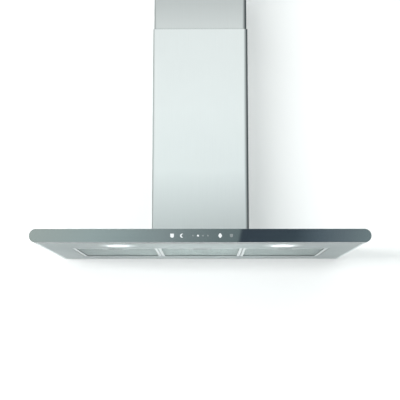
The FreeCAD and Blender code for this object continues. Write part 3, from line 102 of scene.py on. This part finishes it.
class Shader(Nodes):
    """A material with its Principled shader, and short calls for the nodes before it."""

    def __init__(self, name, **values):
        self.material = bpy.data.materials.new(name)
        self.material.use_nodes = True
        super().__init__(self.material.node_tree)
        self.surface = self.tree.nodes["Principled BSDF"]
        for socket, value in values.items():
            self.surface.inputs[socket.replace("_", " ")].default_value = value

    def feed(self, socket, output):
        self.link(output, self.surface.inputs[socket])

    def coordinates(self, scale):
        """Object coordinates stretched by a scale along each axis."""
        place = self.add("ShaderNodeTexCoord")
        mapping = self.add("ShaderNodeMapping")
        mapping.inputs["Scale"].default_value = scale
        self.link(place.outputs["Object"], mapping.inputs["Vector"])
        return mapping.outputs["Vector"]

    def place(self):
        """The X, Y and Z of each point."""
        return self.axes(self.add("ShaderNodeTexCoord").outputs["Object"])

    def facing(self):
        """The X, Y and Z of the direction in which the surface faces."""
        return self.axes(self.add("ShaderNodeTexCoord").outputs["Normal"])

    def noise(self, scale, detail=4.0, roughness=0.55):
        """Smooth noise between 0 and 1; the scale is in cells per metre on each axis."""
        texture = self.add("ShaderNodeTexNoise")
        texture.inputs["Scale"].default_value = 1.0
        texture.inputs["Detail"].default_value = detail
        texture.inputs["Roughness"].default_value = roughness
        self.link(self.coordinates(scale), texture.inputs["Vector"])
        return texture.outputs["Fac"]

    def fine_noise(self, cells, detail=4.0):
        """Noise with as many cells per metre on every axis."""
        return self.noise((cells, cells, cells), detail)

    def cells(self, count):
        """Flat random cells, so many per metre; returns their colour."""
        texture = self.add("ShaderNodeTexVoronoi")
        texture.inputs["Scale"].default_value = 1.0
        self.link(self.coordinates((count, count, count)), texture.inputs["Vector"])
        return texture.outputs["Color"]

    def spread(self, value, low, high):
        """Maps the middle of a 0 to 1 value onto the range from low to high."""
        return self.ranged(value, 0.25, 0.75, low, high)

    def colours(self, value, dark, light):
        """Turns a 0 to 1 value into a colour between two."""
        ramp = self.add("ShaderNodeValToRGB")
        for element, position, colour in zip(ramp.color_ramp.elements, (0.3, 0.7),
                                             (dark, light)):
            element.position = position
            element.color = (*colour, 1.0)
        self.link(value, ramp.inputs["Fac"])
        return ramp.outputs["Color"]

    def mix(self, first, second, share):
        """Two 0 to 1 values mixed, the second with the given share."""
        return self.maths("ADD", self.maths("MULTIPLY", first, 1.0 - share),
                          self.maths("MULTIPLY", second, share))

    def edge_shade(self, value, edge, start, full, shade):
        """Shade along an axis that starts and is full at these distances from an edge."""
        return self.ranged(value, edge + start, edge + full, 0.0, shade)

    def darkest(self, *shades):
        shade = shades[0]
        for other in shades[1:]:
            shade = self.maths("MAXIMUM", shade, other)
        return shade

    def darken(self, colour, shade):
        """Base colour mixed towards near-black by a 0 to 1 shade."""
        mixed = self.add("ShaderNodeMix", data_type="RGBA", blend_type="MIX")
        self.link(shade, mixed.inputs["Factor"])
        self.link(colour, mixed.inputs["A"])
        mixed.inputs["B"].default_value = DEEP_SHADE
        self.feed("Base Color", mixed.outputs["Result"])

    def lamp_light_and_painted_glow(self, reach, core, faint, strength):
        """Emission round the nearer of the two lamps, full at the core radius, faint at the
        reach:
        the lamp's own light on a lens, a painted glow on the steel round it."""
        x, y, _ = self.place()
        across = self.maths("SUBTRACT", self.maths("ABSOLUTE", x), LAMP_X)
        along = self.maths("SUBTRACT", y, LAMP_Y)
        away = self.maths("SQRT", self.maths("ADD", self.maths("MULTIPLY", across, across),
                                             self.maths("MULTIPLY", along, along)))
        glow = self.maths("POWER", self.ranged(away, reach, core, 0.0, 1.0), GLOW_FALL)
        glow = self.maths("ADD", self.maths("MULTIPLY", glow, strength - faint), faint)
        self.surface.inputs["Emission Color"].default_value = LAMP_COLOUR
        self.feed("Emission Strength", glow)

    def bump(self, height, strength, distance):
        bump = self.add("ShaderNodeBump")
        bump.inputs["Strength"].default_value = strength
        bump.inputs["Distance"].default_value = distance
        self.link(height, bump.inputs["Height"])
        self.feed("Normal", bump.outputs["Normal"])


# ---------------------------------------------------------------- materials

LAMP_LOW, LAMP_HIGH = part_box("lamp_right_module")
LAMP_X = (LAMP_LOW.x + LAMP_HIGH.x) / 2
LAMP_Y = (LAMP_LOW.y + LAMP_HIGH.y) / 2
LAMP_LENS_RADIUS = 0.025
LAMP_COLOUR = (0.95, 1.0, 1.0, 1.0)
GLOW_FALL = 1.8           # how fast a lamp's light and the glow painted round it fade
UNDERSIDE_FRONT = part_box("underside_panel")[0].y
WALL = 0.0
DEEP_SHADE = (0.04, 0.05, 0.055, 1.0)
CONTACT_REACH = 0.007     # how near another sheet the painted contact shade reaches
BRUSH_ACROSS = 1400.0     # cells per metre across a brushing line
BRUSH_ALONG = 9.0         # cells per metre along it
STEEL_ANISOTROPY = 0.35
FROST = 2500.0            # cells per metre of a frosted lens


def brushed_steel(name, along, tone, red=1.0):
    """Stainless steel with fine brushing lines along one axis and faint cloudy wear; the
    red share cools its colour."""
    lines = tuple(BRUSH_ALONG if axis == along else BRUSH_ACROSS for axis in "xyz")
    shader = Shader(name, Metallic=1.0, Anisotropic=STEEL_ANISOTROPY)
    scratches = shader.noise(lines, detail=3.0)
    clouds = shader.fine_noise(7.0, detail=3.0)
    value = shader.mix(scratches, clouds, 0.4)
    dark, light = ((tone * red * share, tone * share, tone * share)
                   for share in (0.98, 1.05))
    colour = shader.colours(value, dark, light)
    shader.feed("Base Color", colour)
    shader.feed("Roughness", shader.spread(value, 0.30, 0.42))
    shader.bump(scratches, 0.12, 0.00008)
    return shader, colour


def chimney_steel(name, tone, node, *shaded_heights):
    """Brushed steel of a folded chimney section. Its front carries painted shade towards both
    bends, over each range of heights that is given, and where another sheet lies close."""
    shader, colour = brushed_steel(name, "z", tone)
    low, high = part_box(node)
    x, _, z = shader.place()
    # Painted contact shade: the ambient occlusion darkens the colour where another sheet lies
    # close.
    near = shader.add("ShaderNodeAmbientOcclusion", samples=8)
    near.inputs["Distance"].default_value = CONTACT_REACH
    # Painted shade on the front: towards the right and left bends, and over the given heights.
    shade = shader.darkest(
        shader.edge_shade(x, high.x, -0.013, -0.004, 0.95),
        shader.edge_shade(x, low.x, 0.006, 0.001, 0.58),
        shader.ranged(near.outputs["AO"], 1.0, 0.5, 0.0, 0.55),
        *(shader.ranged(z, *heights) for heights in shaded_heights))
    to_front = shader.ranged(shader.facing()[1], -0.3, -0.9, 0.0, 1.0)
    shader.darken(colour, shader.maths("MULTIPLY", shade, to_front))
    return shader.material


def underside_steel():
    """Long-brushed steel of the canopy's underside, in a low tone that is painted shade, with
    painted shade towards its edges and a painted glow of lamp light around the two lamps."""
    shader, colour = brushed_steel("steel_under", "x", 0.238, 0.735)
    x, y, _ = shader.place()
    # Painted shade towards the ends, along the front edge under the glass and along the back
    # edge at the wall.
    shader.darken(colour, shader.darkest(
        shader.ranged(shader.maths("ABSOLUTE", x), 0.10, 0.28, 0.0, 0.45),
        shader.edge_shade(y, UNDERSIDE_FRONT, 0.045, 0.002, 0.75),
        shader.edge_shade(y, WALL, -0.042, -0.030, 0.50)))
    # Painted glow of lamp light on the steel round each lamp.
    shader.lamp_light_and_painted_glow(0.062, LAMP_LENS_RADIUS, 0.0, 0.46)
    return shader.material


def lamp_lens():
    """Frosted lens with its light source behind the middle."""
    shader = Shader("lamp_lens", Roughness=0.45)
    frost = shader.fine_noise(FROST, detail=2.0)
    shader.feed("Base Color", shader.colours(frost, (0.84, 0.85, 0.85),
                                             (0.90, 0.91, 0.91)))
    shader.bump(frost, 0.15, 0.00005)
    shader.lamp_light_and_painted_glow(LAMP_LENS_RADIUS + 0.003, 0.013, 0.30, 1.6)
    return shader.material


def canopy_steel():
    """Long-brushed steel of the canopy tray, with painted shade in the bend at the wall and
    on the rim under the glass."""
    shader, colour = brushed_steel("steel_canopy", "x", 0.50, 0.89)
    _, y, _ = shader.place()
    # Painted shade: a dark line in the bend at the wall and a shadow gap on the rim under the
    # glass.
    bend = shader.edge_shade(y, WALL, -0.010, -0.003, 0.60)
    rim = shader.maths("MULTIPLY", shader.edge_shade(y, UNDERSIDE_FRONT, 0.010, 0.0, 0.75),
                       shader.ranged(shader.facing()[2], -0.2, -0.8, 0.0, 1.0))
    shader.darken(colour, shader.darkest(bend, rim))
    return shader.material


# Brushed steel of the lamp bezels, with a painted glow of lamp light round each lens.
def bezel_steel():
    shader, colour = brushed_steel("steel_bezel", "x", 0.55, 0.92)
    shader.feed("Base Color", colour)
    shader.lamp_light_and_painted_glow(0.040, LAMP_LENS_RADIUS, 0.05, 0.50)
    return shader.material


def dark_glass():
    """Near-black toughened glass with a hard polished face."""
    shader = Shader("dark_glass", Roughness=0.03, IOR=1.52, Coat_Weight=1.0,
                    Coat_Roughness=0.02, Coat_IOR=1.9)
    haze = shader.noise((16.0, 16.0, 60.0), detail=2.0)
    shader.feed("Base Color", shader.colours(haze, (0.010, 0.014, 0.016),
                                             (0.014, 0.019, 0.021)))
    return shader.material


def galvanised():
    """Zinc-coated sheet with its crystal spangle."""
    shader = Shader("galvanised", Metallic=0.9)
    spangle = shader.cells(85.0)
    grain = shader.fine_noise(300.0)
    blend = shader.mix(spangle, grain, 0.5)
    shader.feed("Base Color", shader.colours(blend, (0.44, 0.46, 0.48), (0.66, 0.68, 0.69)))
    shader.feed("Roughness", shader.spread(blend, 0.34, 0.56))
    shader.bump(grain, 0.10, 0.0001)
    return shader.material


def grained_metal(name, dark, light, rough, grain=500.0, metallic=1.0, strength=0.15):
    """Metal with an even fine grain, such as washed, cast or plated parts."""
    shader = Shader(name, Metallic=metallic)
    value = shader.fine_noise(grain, detail=5.0)
    shader.feed("Base Color", shader.colours(value, dark, light))
    shader.feed("Roughness", shader.spread(value, *rough))
    shader.bump(value, strength, 0.00015)
    return shader.material


def moulded_plastic(name, dark, light, rough=(0.45, 0.60)):
    """Plastic with a fine spark-eroded texture and slight unevenness of colour."""
    shader = Shader(name, IOR=1.48)
    grain = shader.fine_noise(1500.0, detail=2.0)
    clouds = shader.fine_noise(25.0, detail=2.0)
    shader.feed("Base Color", shader.colours(clouds, dark, light))
    shader.feed("Roughness", shader.spread(grain, *rough))
    shader.bump(grain, 0.20, 0.0001)
    return shader.material


def filter_metal(name, dark, light):
    """Filter aluminium, with painted shade towards the ends of the canopy."""
    shader = Shader(name, Metallic=1.0)
    grain = shader.fine_noise(420.0)
    x, _, _ = shader.place()
    # Painted shade, darker towards the ends of the canopy.
    ends = shader.ranged(shader.maths("ABSOLUTE", x), 0.10, 0.36, 0.0, 0.28)
    shader.darken(shader.colours(grain, dark, light), ends)
    shader.feed("Roughness", shader.spread(grain, 0.30, 0.46))
    return shader.material


def circuit_board():
    """Green lacquer over copper tracks."""
    shader = Shader("circuit_board", Roughness=0.3)
    tracks = shader.cells(260.0)
    shader.feed("Base Color", shader.colours(tracks, (0.012, 0.10, 0.045),
                                             (0.03, 0.20, 0.09)))
    shader.bump(tracks, 0.3, 0.0001)
    return shader.material


def glowing(name, colour, strength, body=0.9):
    """A lit diffuser or symbol: its colour is even, with a fine frosted surface whose
    unlit tone is the body share of its colour."""
    shader = Shader(name, Roughness=0.5, Emission_Strength=strength,
                    Emission_Color=(*colour, 1.0))
    frost = shader.fine_noise(FROST, detail=2.0)
    shader.feed("Base Color", shader.colours(
        frost, tuple(c * body * 0.95 for c in colour), tuple(c * body * 1.05 for c in colour)))
    shader.bump(frost, 0.15, 0.00005)
    return shader.material


MATERIALS = {
    # The chimney rows' height ranges are painted shade: towards the foot and below the top of
    # the lower section, and towards the top of the upper section. The upper section's lower
    # tone is painted shade too.
    "steel_lower": chimney_steel("steel_lower", 0.93, "lower_chimney",
                                 (0.22, 0.03, 0.0, 0.29), (0.40, 0.64, 0.0, 0.09)),
    "steel_upper": chimney_steel("steel_upper", 0.70, "upper_chimney",
                                 (0.655, 0.73, 0.0, 0.17)),
    "steel_canopy": canopy_steel(),
    "steel_under": underside_steel(),
    "steel_bezel": bezel_steel(),
    "dark_glass": dark_glass(),
    "galvanised": galvanised(),
    "filter_frame": filter_metal("filter_frame", (0.44, 0.49, 0.49), (0.54, 0.59, 0.59)),
    "filter_mesh": filter_metal("filter_mesh", (0.61, 0.70, 0.69), (0.77, 0.86, 0.85)),
    "spring_steel": grained_metal("spring_steel", (0.55, 0.56, 0.58), (0.68, 0.69, 0.70),
                                  (0.16, 0.28)),
    "zinc": grained_metal("zinc", (0.58, 0.59, 0.62), (0.72, 0.73, 0.75), (0.22, 0.36)),
    "cast_aluminium": grained_metal("cast_aluminium", (0.50, 0.51, 0.52), (0.64, 0.65, 0.66),
                                    (0.45, 0.62), grain=220.0, strength=0.35),
    "motor_paint": grained_metal("motor_paint", (0.10, 0.105, 0.115), (0.16, 0.165, 0.175),
                                 (0.38, 0.52), metallic=0.3),
    "grey_plastic": moulded_plastic("grey_plastic", (0.20, 0.22, 0.24), (0.25, 0.27, 0.29)),
    "black_plastic": moulded_plastic("black_plastic", (0.018, 0.018, 0.020),
                                     (0.028, 0.028, 0.031)),
    "white_plastic": moulded_plastic("white_plastic", (0.74, 0.74, 0.71), (0.80, 0.80, 0.77)),
    "circuit_board": circuit_board(),
    "lamp_lens": lamp_lens(),
    "symbol_bright": glowing("symbol_bright", (0.95, 0.98, 1.0), 0.55, 0.3),
    "symbol_soft": glowing("symbol_soft", (0.80, 0.90, 0.92), 0.17, 0.12),
}

NODE_MATERIALS = {
    "steel_lower": ["lower_chimney"],
    "steel_upper": ["upper_chimney"],
    "steel_canopy": ["canopy_shell", "fascia_carrier"],
    "steel_under": ["underside_panel"],
    "steel_bezel": ["lamp_bezels"],
    "dark_glass": ["glass_fascia"],
    "galvanised": ["chimney_angles", "blower_box", "wall_rail", "ceiling_bracket",
                   "motor_bracket"],
    "filter_frame": [f"filter_{side}_{part}" for side in SIDES for part in ("frame", "pull")],
    "filter_mesh": [f"filter_{side}_mesh" for side in SIDES],
    "spring_steel": [f"filter_{side}_catch_spring" for side in SIDES],
    "zinc": ["blower_box_screws", "motor_bracket_screws", "chimney_screws", "damper_pin",
             "capacitor_clip"],
    "cast_aluminium": ["lamp_left_module", "lamp_right_module", "capacitor"],
    "motor_paint": ["fan_motor", "motor_shaft"],
    "grey_plastic": ["scroll_housing", "scroll_side_plate", "inlet_guard", "terminal_box",
                     "terminal_box_lid"],
    "black_plastic": ["control_board_tray", "outlet_collar", "damper_flap_front",
                      "damper_flap_back", "cable_gland", "impeller"],
    "white_plastic": ["chimney_glides", "lamp_driver"],
    "circuit_board": ["control_board"],
    "lamp_lens": ["lamp_lenses"],
}


def paint_nodes():
    for name, nodes in NODE_MATERIALS.items():
        for node in nodes:
            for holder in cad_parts[node].material_slots:
                holder.material = MATERIALS[name]


# ---------------------------------------------------------------- mesh helpers

def new_piece(name, mesh_builder, material, body):
    """A mesh object made by a bmesh function, with its finish, riding on a body."""
    mesh = bpy.data.meshes.new(name)
    form = bmesh.new()
    mesh_builder(form)
    bmesh.ops.recalc_face_normals(form, faces=form.faces)
    form.to_mesh(mesh)
    form.free()
    piece = bpy.data.objects.new(name, mesh)
    bpy.context.collection.objects.link(piece)
    mesh.materials.append(MATERIALS[material])
    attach(piece, body)
    return piece


def add_prism(form, outline, depth_axis, low, high):
    """A solid between two copies of an outline; points are in the other two axes."""
    def point(pair, depth):
        first, second = pair
        return {"x": (depth, first, second), "y": (first, depth, second),
                "z": (first, second, depth)}[depth_axis]
    ends = [[form.verts.new(point(pair, depth)) for pair in outline] for depth in (low, high)]
    form.faces.new(ends[0])
    form.faces.new(ends[1][::-1])
    count = len(outline)
    for index in range(count):
        after = (index + 1) % count
        form.faces.new((ends[0][index], ends[1][index], ends[1][after], ends[0][after]))


def circle_points(x, z, radius, count=20, start=0.0, sweep=2 * math.pi):
    closed = abs(sweep) >= 2 * math.pi - 1e-6
    steps = count if closed else count - 1
    return [(x + radius * math.cos(start + sweep * index / steps),
             z + radius * math.sin(start + sweep * index / steps)) for index in range(count)]


# ---------------------------------------------------------------- touch symbols

GLASS_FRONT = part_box("glass_fascia")[0].y
PRINT_DEPTH = 0.00006


def dot(x, radius):
    return circle_points(x, 0.0, radius, 16)


def crescent(x, radius):
    """A moon that opens to the right: its outer arc, then the hollow's arc back."""
    inner_radius, offset = radius * 0.80, radius * 0.55
    along = (radius ** 2 + offset ** 2 - inner_radius ** 2) / (2 * offset)
    outer_angle = math.acos(along / radius)
    inner_angle = math.acos((along - offset) / inner_radius)
    outer = circle_points(x, 0.0, radius, 20, outer_angle, 2 * (math.pi - outer_angle))
    inner = circle_points(x + offset, 0.0, inner_radius, 16, -inner_angle,
                          -2 * (math.pi - inner_angle))
    return outer[:-1] + inner[:-1]


def cup(x, half_width, half_height):
    """A beaker with rounded lower corners."""
    radius = half_width * 0.9
    low = -half_height + radius
    right = circle_points(x + half_width - radius, low, radius, 7, 0.0, -math.pi / 2)
    left = circle_points(x - half_width + radius, low, radius, 7, -math.pi / 2, -math.pi / 2)
    return [(x - half_width, half_height), (x + half_width, half_height), *right, *left]


def diamond(x, half_width, half_height):
    """A rhombus with blunt corners."""
    blunt = 0.22
    corners = ((1, 1, 1.0, blunt), (1, 1, blunt, 1.0),
               (-1, 1, blunt, 1.0), (-1, 1, 1.0, blunt),
               (-1, -1, 1.0, blunt), (-1, -1, blunt, 1.0),
               (1, -1, blunt, 1.0), (1, -1, 1.0, blunt))
    return [(x + side * half_width * wide, rise * half_height * tall)
            for side, rise, wide, tall in corners]


BRIGHT_SYMBOLS = (
    cup(-0.073, 0.0048, 0.0053),
    crescent(-0.047, 0.0052),
    dot(-0.005, 0.0026),
    diamond(0.053, 0.0046, 0.0062),
)
SOFT_SYMBOLS = (
    dot(-0.018, 0.0022),
    dot(0.008, 0.0022),
    dot(0.021, 0.0022),
    cup(0.0825, 0.0040, 0.0042),
)


def make_symbols():
    """Lit touch symbols, a thin print on the glass."""
    for name, outlines in (("symbol_bright", BRIGHT_SYMBOLS), ("symbol_soft", SOFT_SYMBOLS)):
        def draw(form, outlines=outlines):
            for outline in outlines:
                add_prism(form, outline, "y", GLASS_FRONT - PRINT_DEPTH, GLASS_FRONT)
        new_piece(name, draw, name, "canopy")


# ---------------------------------------------------------------- filter mesh

DIAMOND_LENGTH = 0.014
DIAMOND_WIDTH = 0.0072
STRAND_WIDTH = 0.0012
STRAND_THICKNESS = 0.0007
LAYER_RISES = (0.0009, 0.0036)
CUP_SIDE_OVERLAP = 0.006
CUP_BACK_OVERLAP = 0.002


def add_strand(form, start_x, y, z, count, first_side, skip):
    """One zigzag strand of expanded metal as a chain of flat bars, with its joins."""
    half = STRAND_WIDTH / 2
    step = DIAMOND_LENGTH / 2
    swing = (DIAMOND_WIDTH - STRAND_WIDTH) / 4
    rows = []
    for index in range(count + 1):
        x = start_x + index * step
        side = first_side if index % 2 == 0 else -first_side
        middle = y + side * swing
        if skip(x, middle):
            rows.append(None)
            continue
        rows.append([form.verts.new((x, middle + across * half, z + up))
                     for across, up in ((-1, 0.0), (1, 0.0), (1, STRAND_THICKNESS),
                                        (-1, STRAND_THICKNESS))])
    for before, after in zip(rows, rows[1:]):
        if before is None or after is None:
            continue
        for edge in range(4):
            following = (edge + 1) % 4
            form.faces.new((before[edge], before[following], after[following], after[edge]))


def make_filter_mesh(side):
    """Two staggered layers of expanded metal in the frame, clear of the finger cup."""
    low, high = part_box(f"filter_{side}_mesh")
    cup_low, cup_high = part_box(f"filter_{side}_pull")

    def in_cup(x, y):
        return (cup_low.x + CUP_SIDE_OVERLAP < x < cup_high.x - CUP_SIDE_OVERLAP
                and y < cup_high.y - CUP_BACK_OVERLAP)

    def draw(form):
        count = int((high.x - low.x) / (DIAMOND_LENGTH / 2))
        start_x = (low.x + high.x - count * DIAMOND_LENGTH / 2) / 2
        rows = int((high.y - low.y - DIAMOND_WIDTH) / (DIAMOND_WIDTH / 2))
        start_y = (low.y + high.y - rows * DIAMOND_WIDTH / 2) / 2
        for layer, rise in enumerate(LAYER_RISES):
            for row in range(rows + 1):
                add_strand(form, start_x, start_y + row * DIAMOND_WIDTH / 2, low.z + rise,
                           count, 1 if (row + layer) % 2 else -1, in_cup)
    piece = new_piece(f"expanded_mesh_{side}", draw, "filter_mesh", f"filter_{side}")
    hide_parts(f"filter_{side}_mesh")


# ---------------------------------------------------------------- camera and studio

CAMERA_PLACE = (0.0144, -2.6968, -0.2499)
CAMERA_PITCH = 7.821      # degrees above level
CAMERA_YAW = 0.371        # degrees
CAMERA_LENS = 75.98
CAMERA_SHIFT = 0.04


def make_camera():
    data = bpy.data.cameras.new("camera")
    camera = bpy.data.objects.new("camera", data)
    bpy.context.collection.objects.link(camera)
    data.sensor_width = 36.0
    data.lens = CAMERA_LENS
    data.shift_y = CAMERA_SHIFT
    camera.location = CAMERA_PLACE
    camera.rotation_euler = (math.radians(90 + CAMERA_PITCH), 0.0, math.radians(CAMERA_YAW))
    bpy.context.scene.camera = camera


def area_light(name, place, target, size, power):
    """A soft box of a width and a height, hidden from reflections."""
    data = bpy.data.lights.new(name, "AREA")
    data.shape = "RECTANGLE"
    data.size, data.size_y = size
    data.energy = power
    light = bpy.data.objects.new(name, data)
    light.location = place
    direction = Vector(target) - Vector(place)
    light.rotation_euler = direction.to_track_quat("-Z", "Y").to_euler()
    light.visible_glossy = False
    bpy.context.collection.objects.link(light)


def make_lights():
    area_light("key", place=(-1.18, -3.0, 0.06), target=(0.0, 0.0, 0.10), size=(1.8, 0.30),
               power=54.0)
    area_light("fill", place=(1.2, -2.6, -0.9), target=(0.0, -0.2, 0.1), size=(1.6, 1.2),
               power=4.0)


ROOM_TINT = (0.93, 1.0, 0.99)
ROOM_RISE = (-0.15, 0.42)          # upward slopes between which the room gets lighter
ROOM_LEVELS = (0.42, 1.12)
ROOM_SIDES = (0.90, 1.0)           # its left and right
ROOM_END_SLOPES = (0.3, 0.95)      # sideways slopes between which it falls to its ends
ROOM_ENDS = 0.66

# The strip of the room that the glass front mirrors: a pale wall, then a dark opening.
STRIP_LEAN = -0.207
STRIP_START = -0.2445
STRIP_SPAN = 0.4307
STRIP_FACING = -0.5
STRIP_LOW_EDGE = (0.075, 0.09)
STRIP_HIGH_EDGE = (0.165, 0.145)
STRIP_LEFT_EDGE = (-0.34, -0.27)
STRIP_RIGHT_EDGE = (0.27, 0.20)
STRIP_STRENGTH = 2.72
STRIP_STOPS = (
    (0.03, (0.86, 1.00, 0.95)),
    (0.20, (0.75, 0.94, 0.93)),
    (0.30, (0.64, 0.81, 0.81)),
    (0.40, (0.53, 0.66, 0.67)),
    (0.46, (0.42, 0.53, 0.54)),
    (0.56, (0.31, 0.41, 0.42)),
    (0.606, (0.29, 0.39, 0.40)),
    (0.611, (0.06, 0.085, 0.12)),
    (0.76, (0.08, 0.12, 0.155)),
    (0.825, (0.18, 0.25, 0.30)),
    (0.89, (0.27, 0.355, 0.40)),
    (0.96, (0.385, 0.51, 0.535)),
)


class Room(Nodes):
    """The world's nodes: white for the camera, a soft room for light and gloss."""

    def __init__(self):
        world = bpy.data.worlds.new("studio")
        bpy.context.scene.world = world
        world.use_nodes = True
        super().__init__(world.node_tree)
        self.tree.nodes.clear()

    def smooth(self, value, start, end, low=0.0, high=1.0):
        return self.ranged(value, start, end, low, high, "SMOOTHSTEP")

    def ramp(self, value, stops):
        node = self.add("ShaderNodeValToRGB")
        elements = node.color_ramp.elements
        elements[0].position, elements[1].position = stops[0][0], stops[-1][0]
        elements[0].color, elements[1].color = (*stops[0][1], 1.0), (*stops[-1][1], 1.0)
        for place, colour in stops[1:-1]:
            elements.new(place).color = (*colour, 1.0)
        self.link(value, node.inputs["Fac"])
        return node.outputs["Color"]

    def background(self, colour, strength):
        node = self.add("ShaderNodeBackground")
        self.set_inputs(node, (colour, strength))
        return node.outputs["Background"]


def make_world():
    room = Room()
    x, y, z = room.axes(room.add("ShaderNodeTexCoord").outputs["Generated"])

    lift = room.smooth(z, *ROOM_RISE, *ROOM_LEVELS)
    lean = room.smooth(x, -1.0, 1.0, *ROOM_SIDES)
    ends = room.smooth(room.maths("ABSOLUTE", x), *ROOM_END_SLOPES, 1.0, ROOM_ENDS)
    level = room.maths("MULTIPLY", lift, room.maths("MULTIPLY", lean, ends))
    soft = room.background((*ROOM_TINT, 1.0), level)

    across = room.maths("ADD", x, room.maths("MULTIPLY", z, STRIP_LEAN))
    place = room.maths("DIVIDE", room.maths("SUBTRACT", across, STRIP_START), STRIP_SPAN)
    strip = room.background(room.ramp(place, STRIP_STOPS), STRIP_STRENGTH)
    in_height = room.maths("MULTIPLY", room.smooth(z, *STRIP_LOW_EDGE),
                           room.smooth(z, *STRIP_HIGH_EDGE))
    in_width = room.maths("MULTIPLY", room.smooth(x, *STRIP_LEFT_EDGE),
                          room.smooth(x, *STRIP_RIGHT_EDGE))
    facing = room.maths("MULTIPLY", room.maths("LESS_THAN", y, STRIP_FACING),
                        room.maths("MULTIPLY", in_height, in_width))
    around = room.mix_shaders(facing, soft, strip)

    rays = room.add("ShaderNodeLightPath")
    white = room.background((1.0, 1.0, 1.0, 1.0), 1.0)
    output = room.add("ShaderNodeOutputWorld")
    room.link(room.mix_shaders(rays.outputs["Is Camera Ray"], around, white),
              output.inputs["Surface"])


STAGE_TONE = 0.80
STAGE_WALL_PLACE = (0.0, 0.0006, 0.6)     # a hair behind the hood's back
STAGE_WALL_SIZE = 7.0
STAGE_FLOOR_PLACE = (0.0, 0.0, -1.6)
STAGE_FLOOR_SIZE = 9.0
CANOPY_TOP = (0.02, 0.12)          # heights between which the wall's mirrored glow changes
CHIMNEY_SIDE = (0.125, 0.138)      # and half widths, so that it stays behind the chimney


def stage_surface(name, glow, mirrored, mirrored_beside):
    """A matt surface that keeps shadows, reads as white to the camera by its glow and in
    reflections by its mirrored glow, and lets views from behind it through. Above the canopy
    and beside the chimney its mirrored glow is another."""
    shader = Shader(name, Roughness=0.9, Specular_IOR_Level=0.0,
                    Base_Color=(STAGE_TONE, STAGE_TONE, STAGE_TONE, 1.0))
    geometry = shader.add("ShaderNodeNewGeometry")
    x, _, z = shader.axes(geometry.outputs["Position"])
    above = shader.ranged(z, *CANOPY_TOP, 0.0, 1.0)
    beside = shader.ranged(shader.maths("ABSOLUTE", x), *CHIMNEY_SIDE, 0.0, 1.0)
    mirror = shader.ranged(shader.maths("MULTIPLY", above, beside), 0.0, 1.0,
                           mirrored, mirrored_beside)
    rays = shader.add("ShaderNodeLightPath")
    level = shader.maths("ADD", shader.maths("MULTIPLY", rays.outputs["Is Camera Ray"], glow),
                         shader.maths("MULTIPLY", rays.outputs["Is Glossy Ray"], mirror))
    light = shader.add("ShaderNodeEmission")
    shader.link(level, light.inputs["Strength"])
    added = shader.add("ShaderNodeAddShader")
    shader.set_inputs(added, (shader.surface.outputs["BSDF"], light.outputs["Emission"]))
    clear = shader.add("ShaderNodeBsdfTransparent")
    output = shader.tree.nodes["Material Output"]
    shader.link(shader.mix_shaders(geometry.outputs["Backfacing"], added.outputs["Shader"],
                                   clear.outputs["BSDF"]), output.inputs["Surface"])
    return shader.material


def stage_plane(name, material, place, size, tilt):
    mesh = bpy.data.meshes.new(name)
    form = bmesh.new()
    bmesh.ops.create_grid(form, x_segments=1, y_segments=1, size=size / 2)
    form.to_mesh(mesh)
    form.free()
    plane = bpy.data.objects.new(name, mesh)
    plane.location = place
    plane.rotation_euler = (tilt, 0.0, 0.0)
    mesh.materials.append(material)
    bpy.context.collection.objects.link(plane)


def make_stage():
    wall = stage_surface("wall", glow=0.19, mirrored=0.50, mirrored_beside=0.0)
    stage_plane("wall", wall, STAGE_WALL_PLACE, STAGE_WALL_SIZE, math.radians(90))
    floor = stage_surface("floor", glow=0.25, mirrored=0.25, mirrored_beside=0.25)
    stage_plane("floor", floor, STAGE_FLOOR_PLACE, STAGE_FLOOR_SIZE, 0.0)


paint_nodes()
make_symbols()
for side in SIDES:
    make_filter_mesh(side)
make_camera()
make_lights()
make_world()
make_stage()

bpy.context.scene.view_settings.view_transform = "Standard"
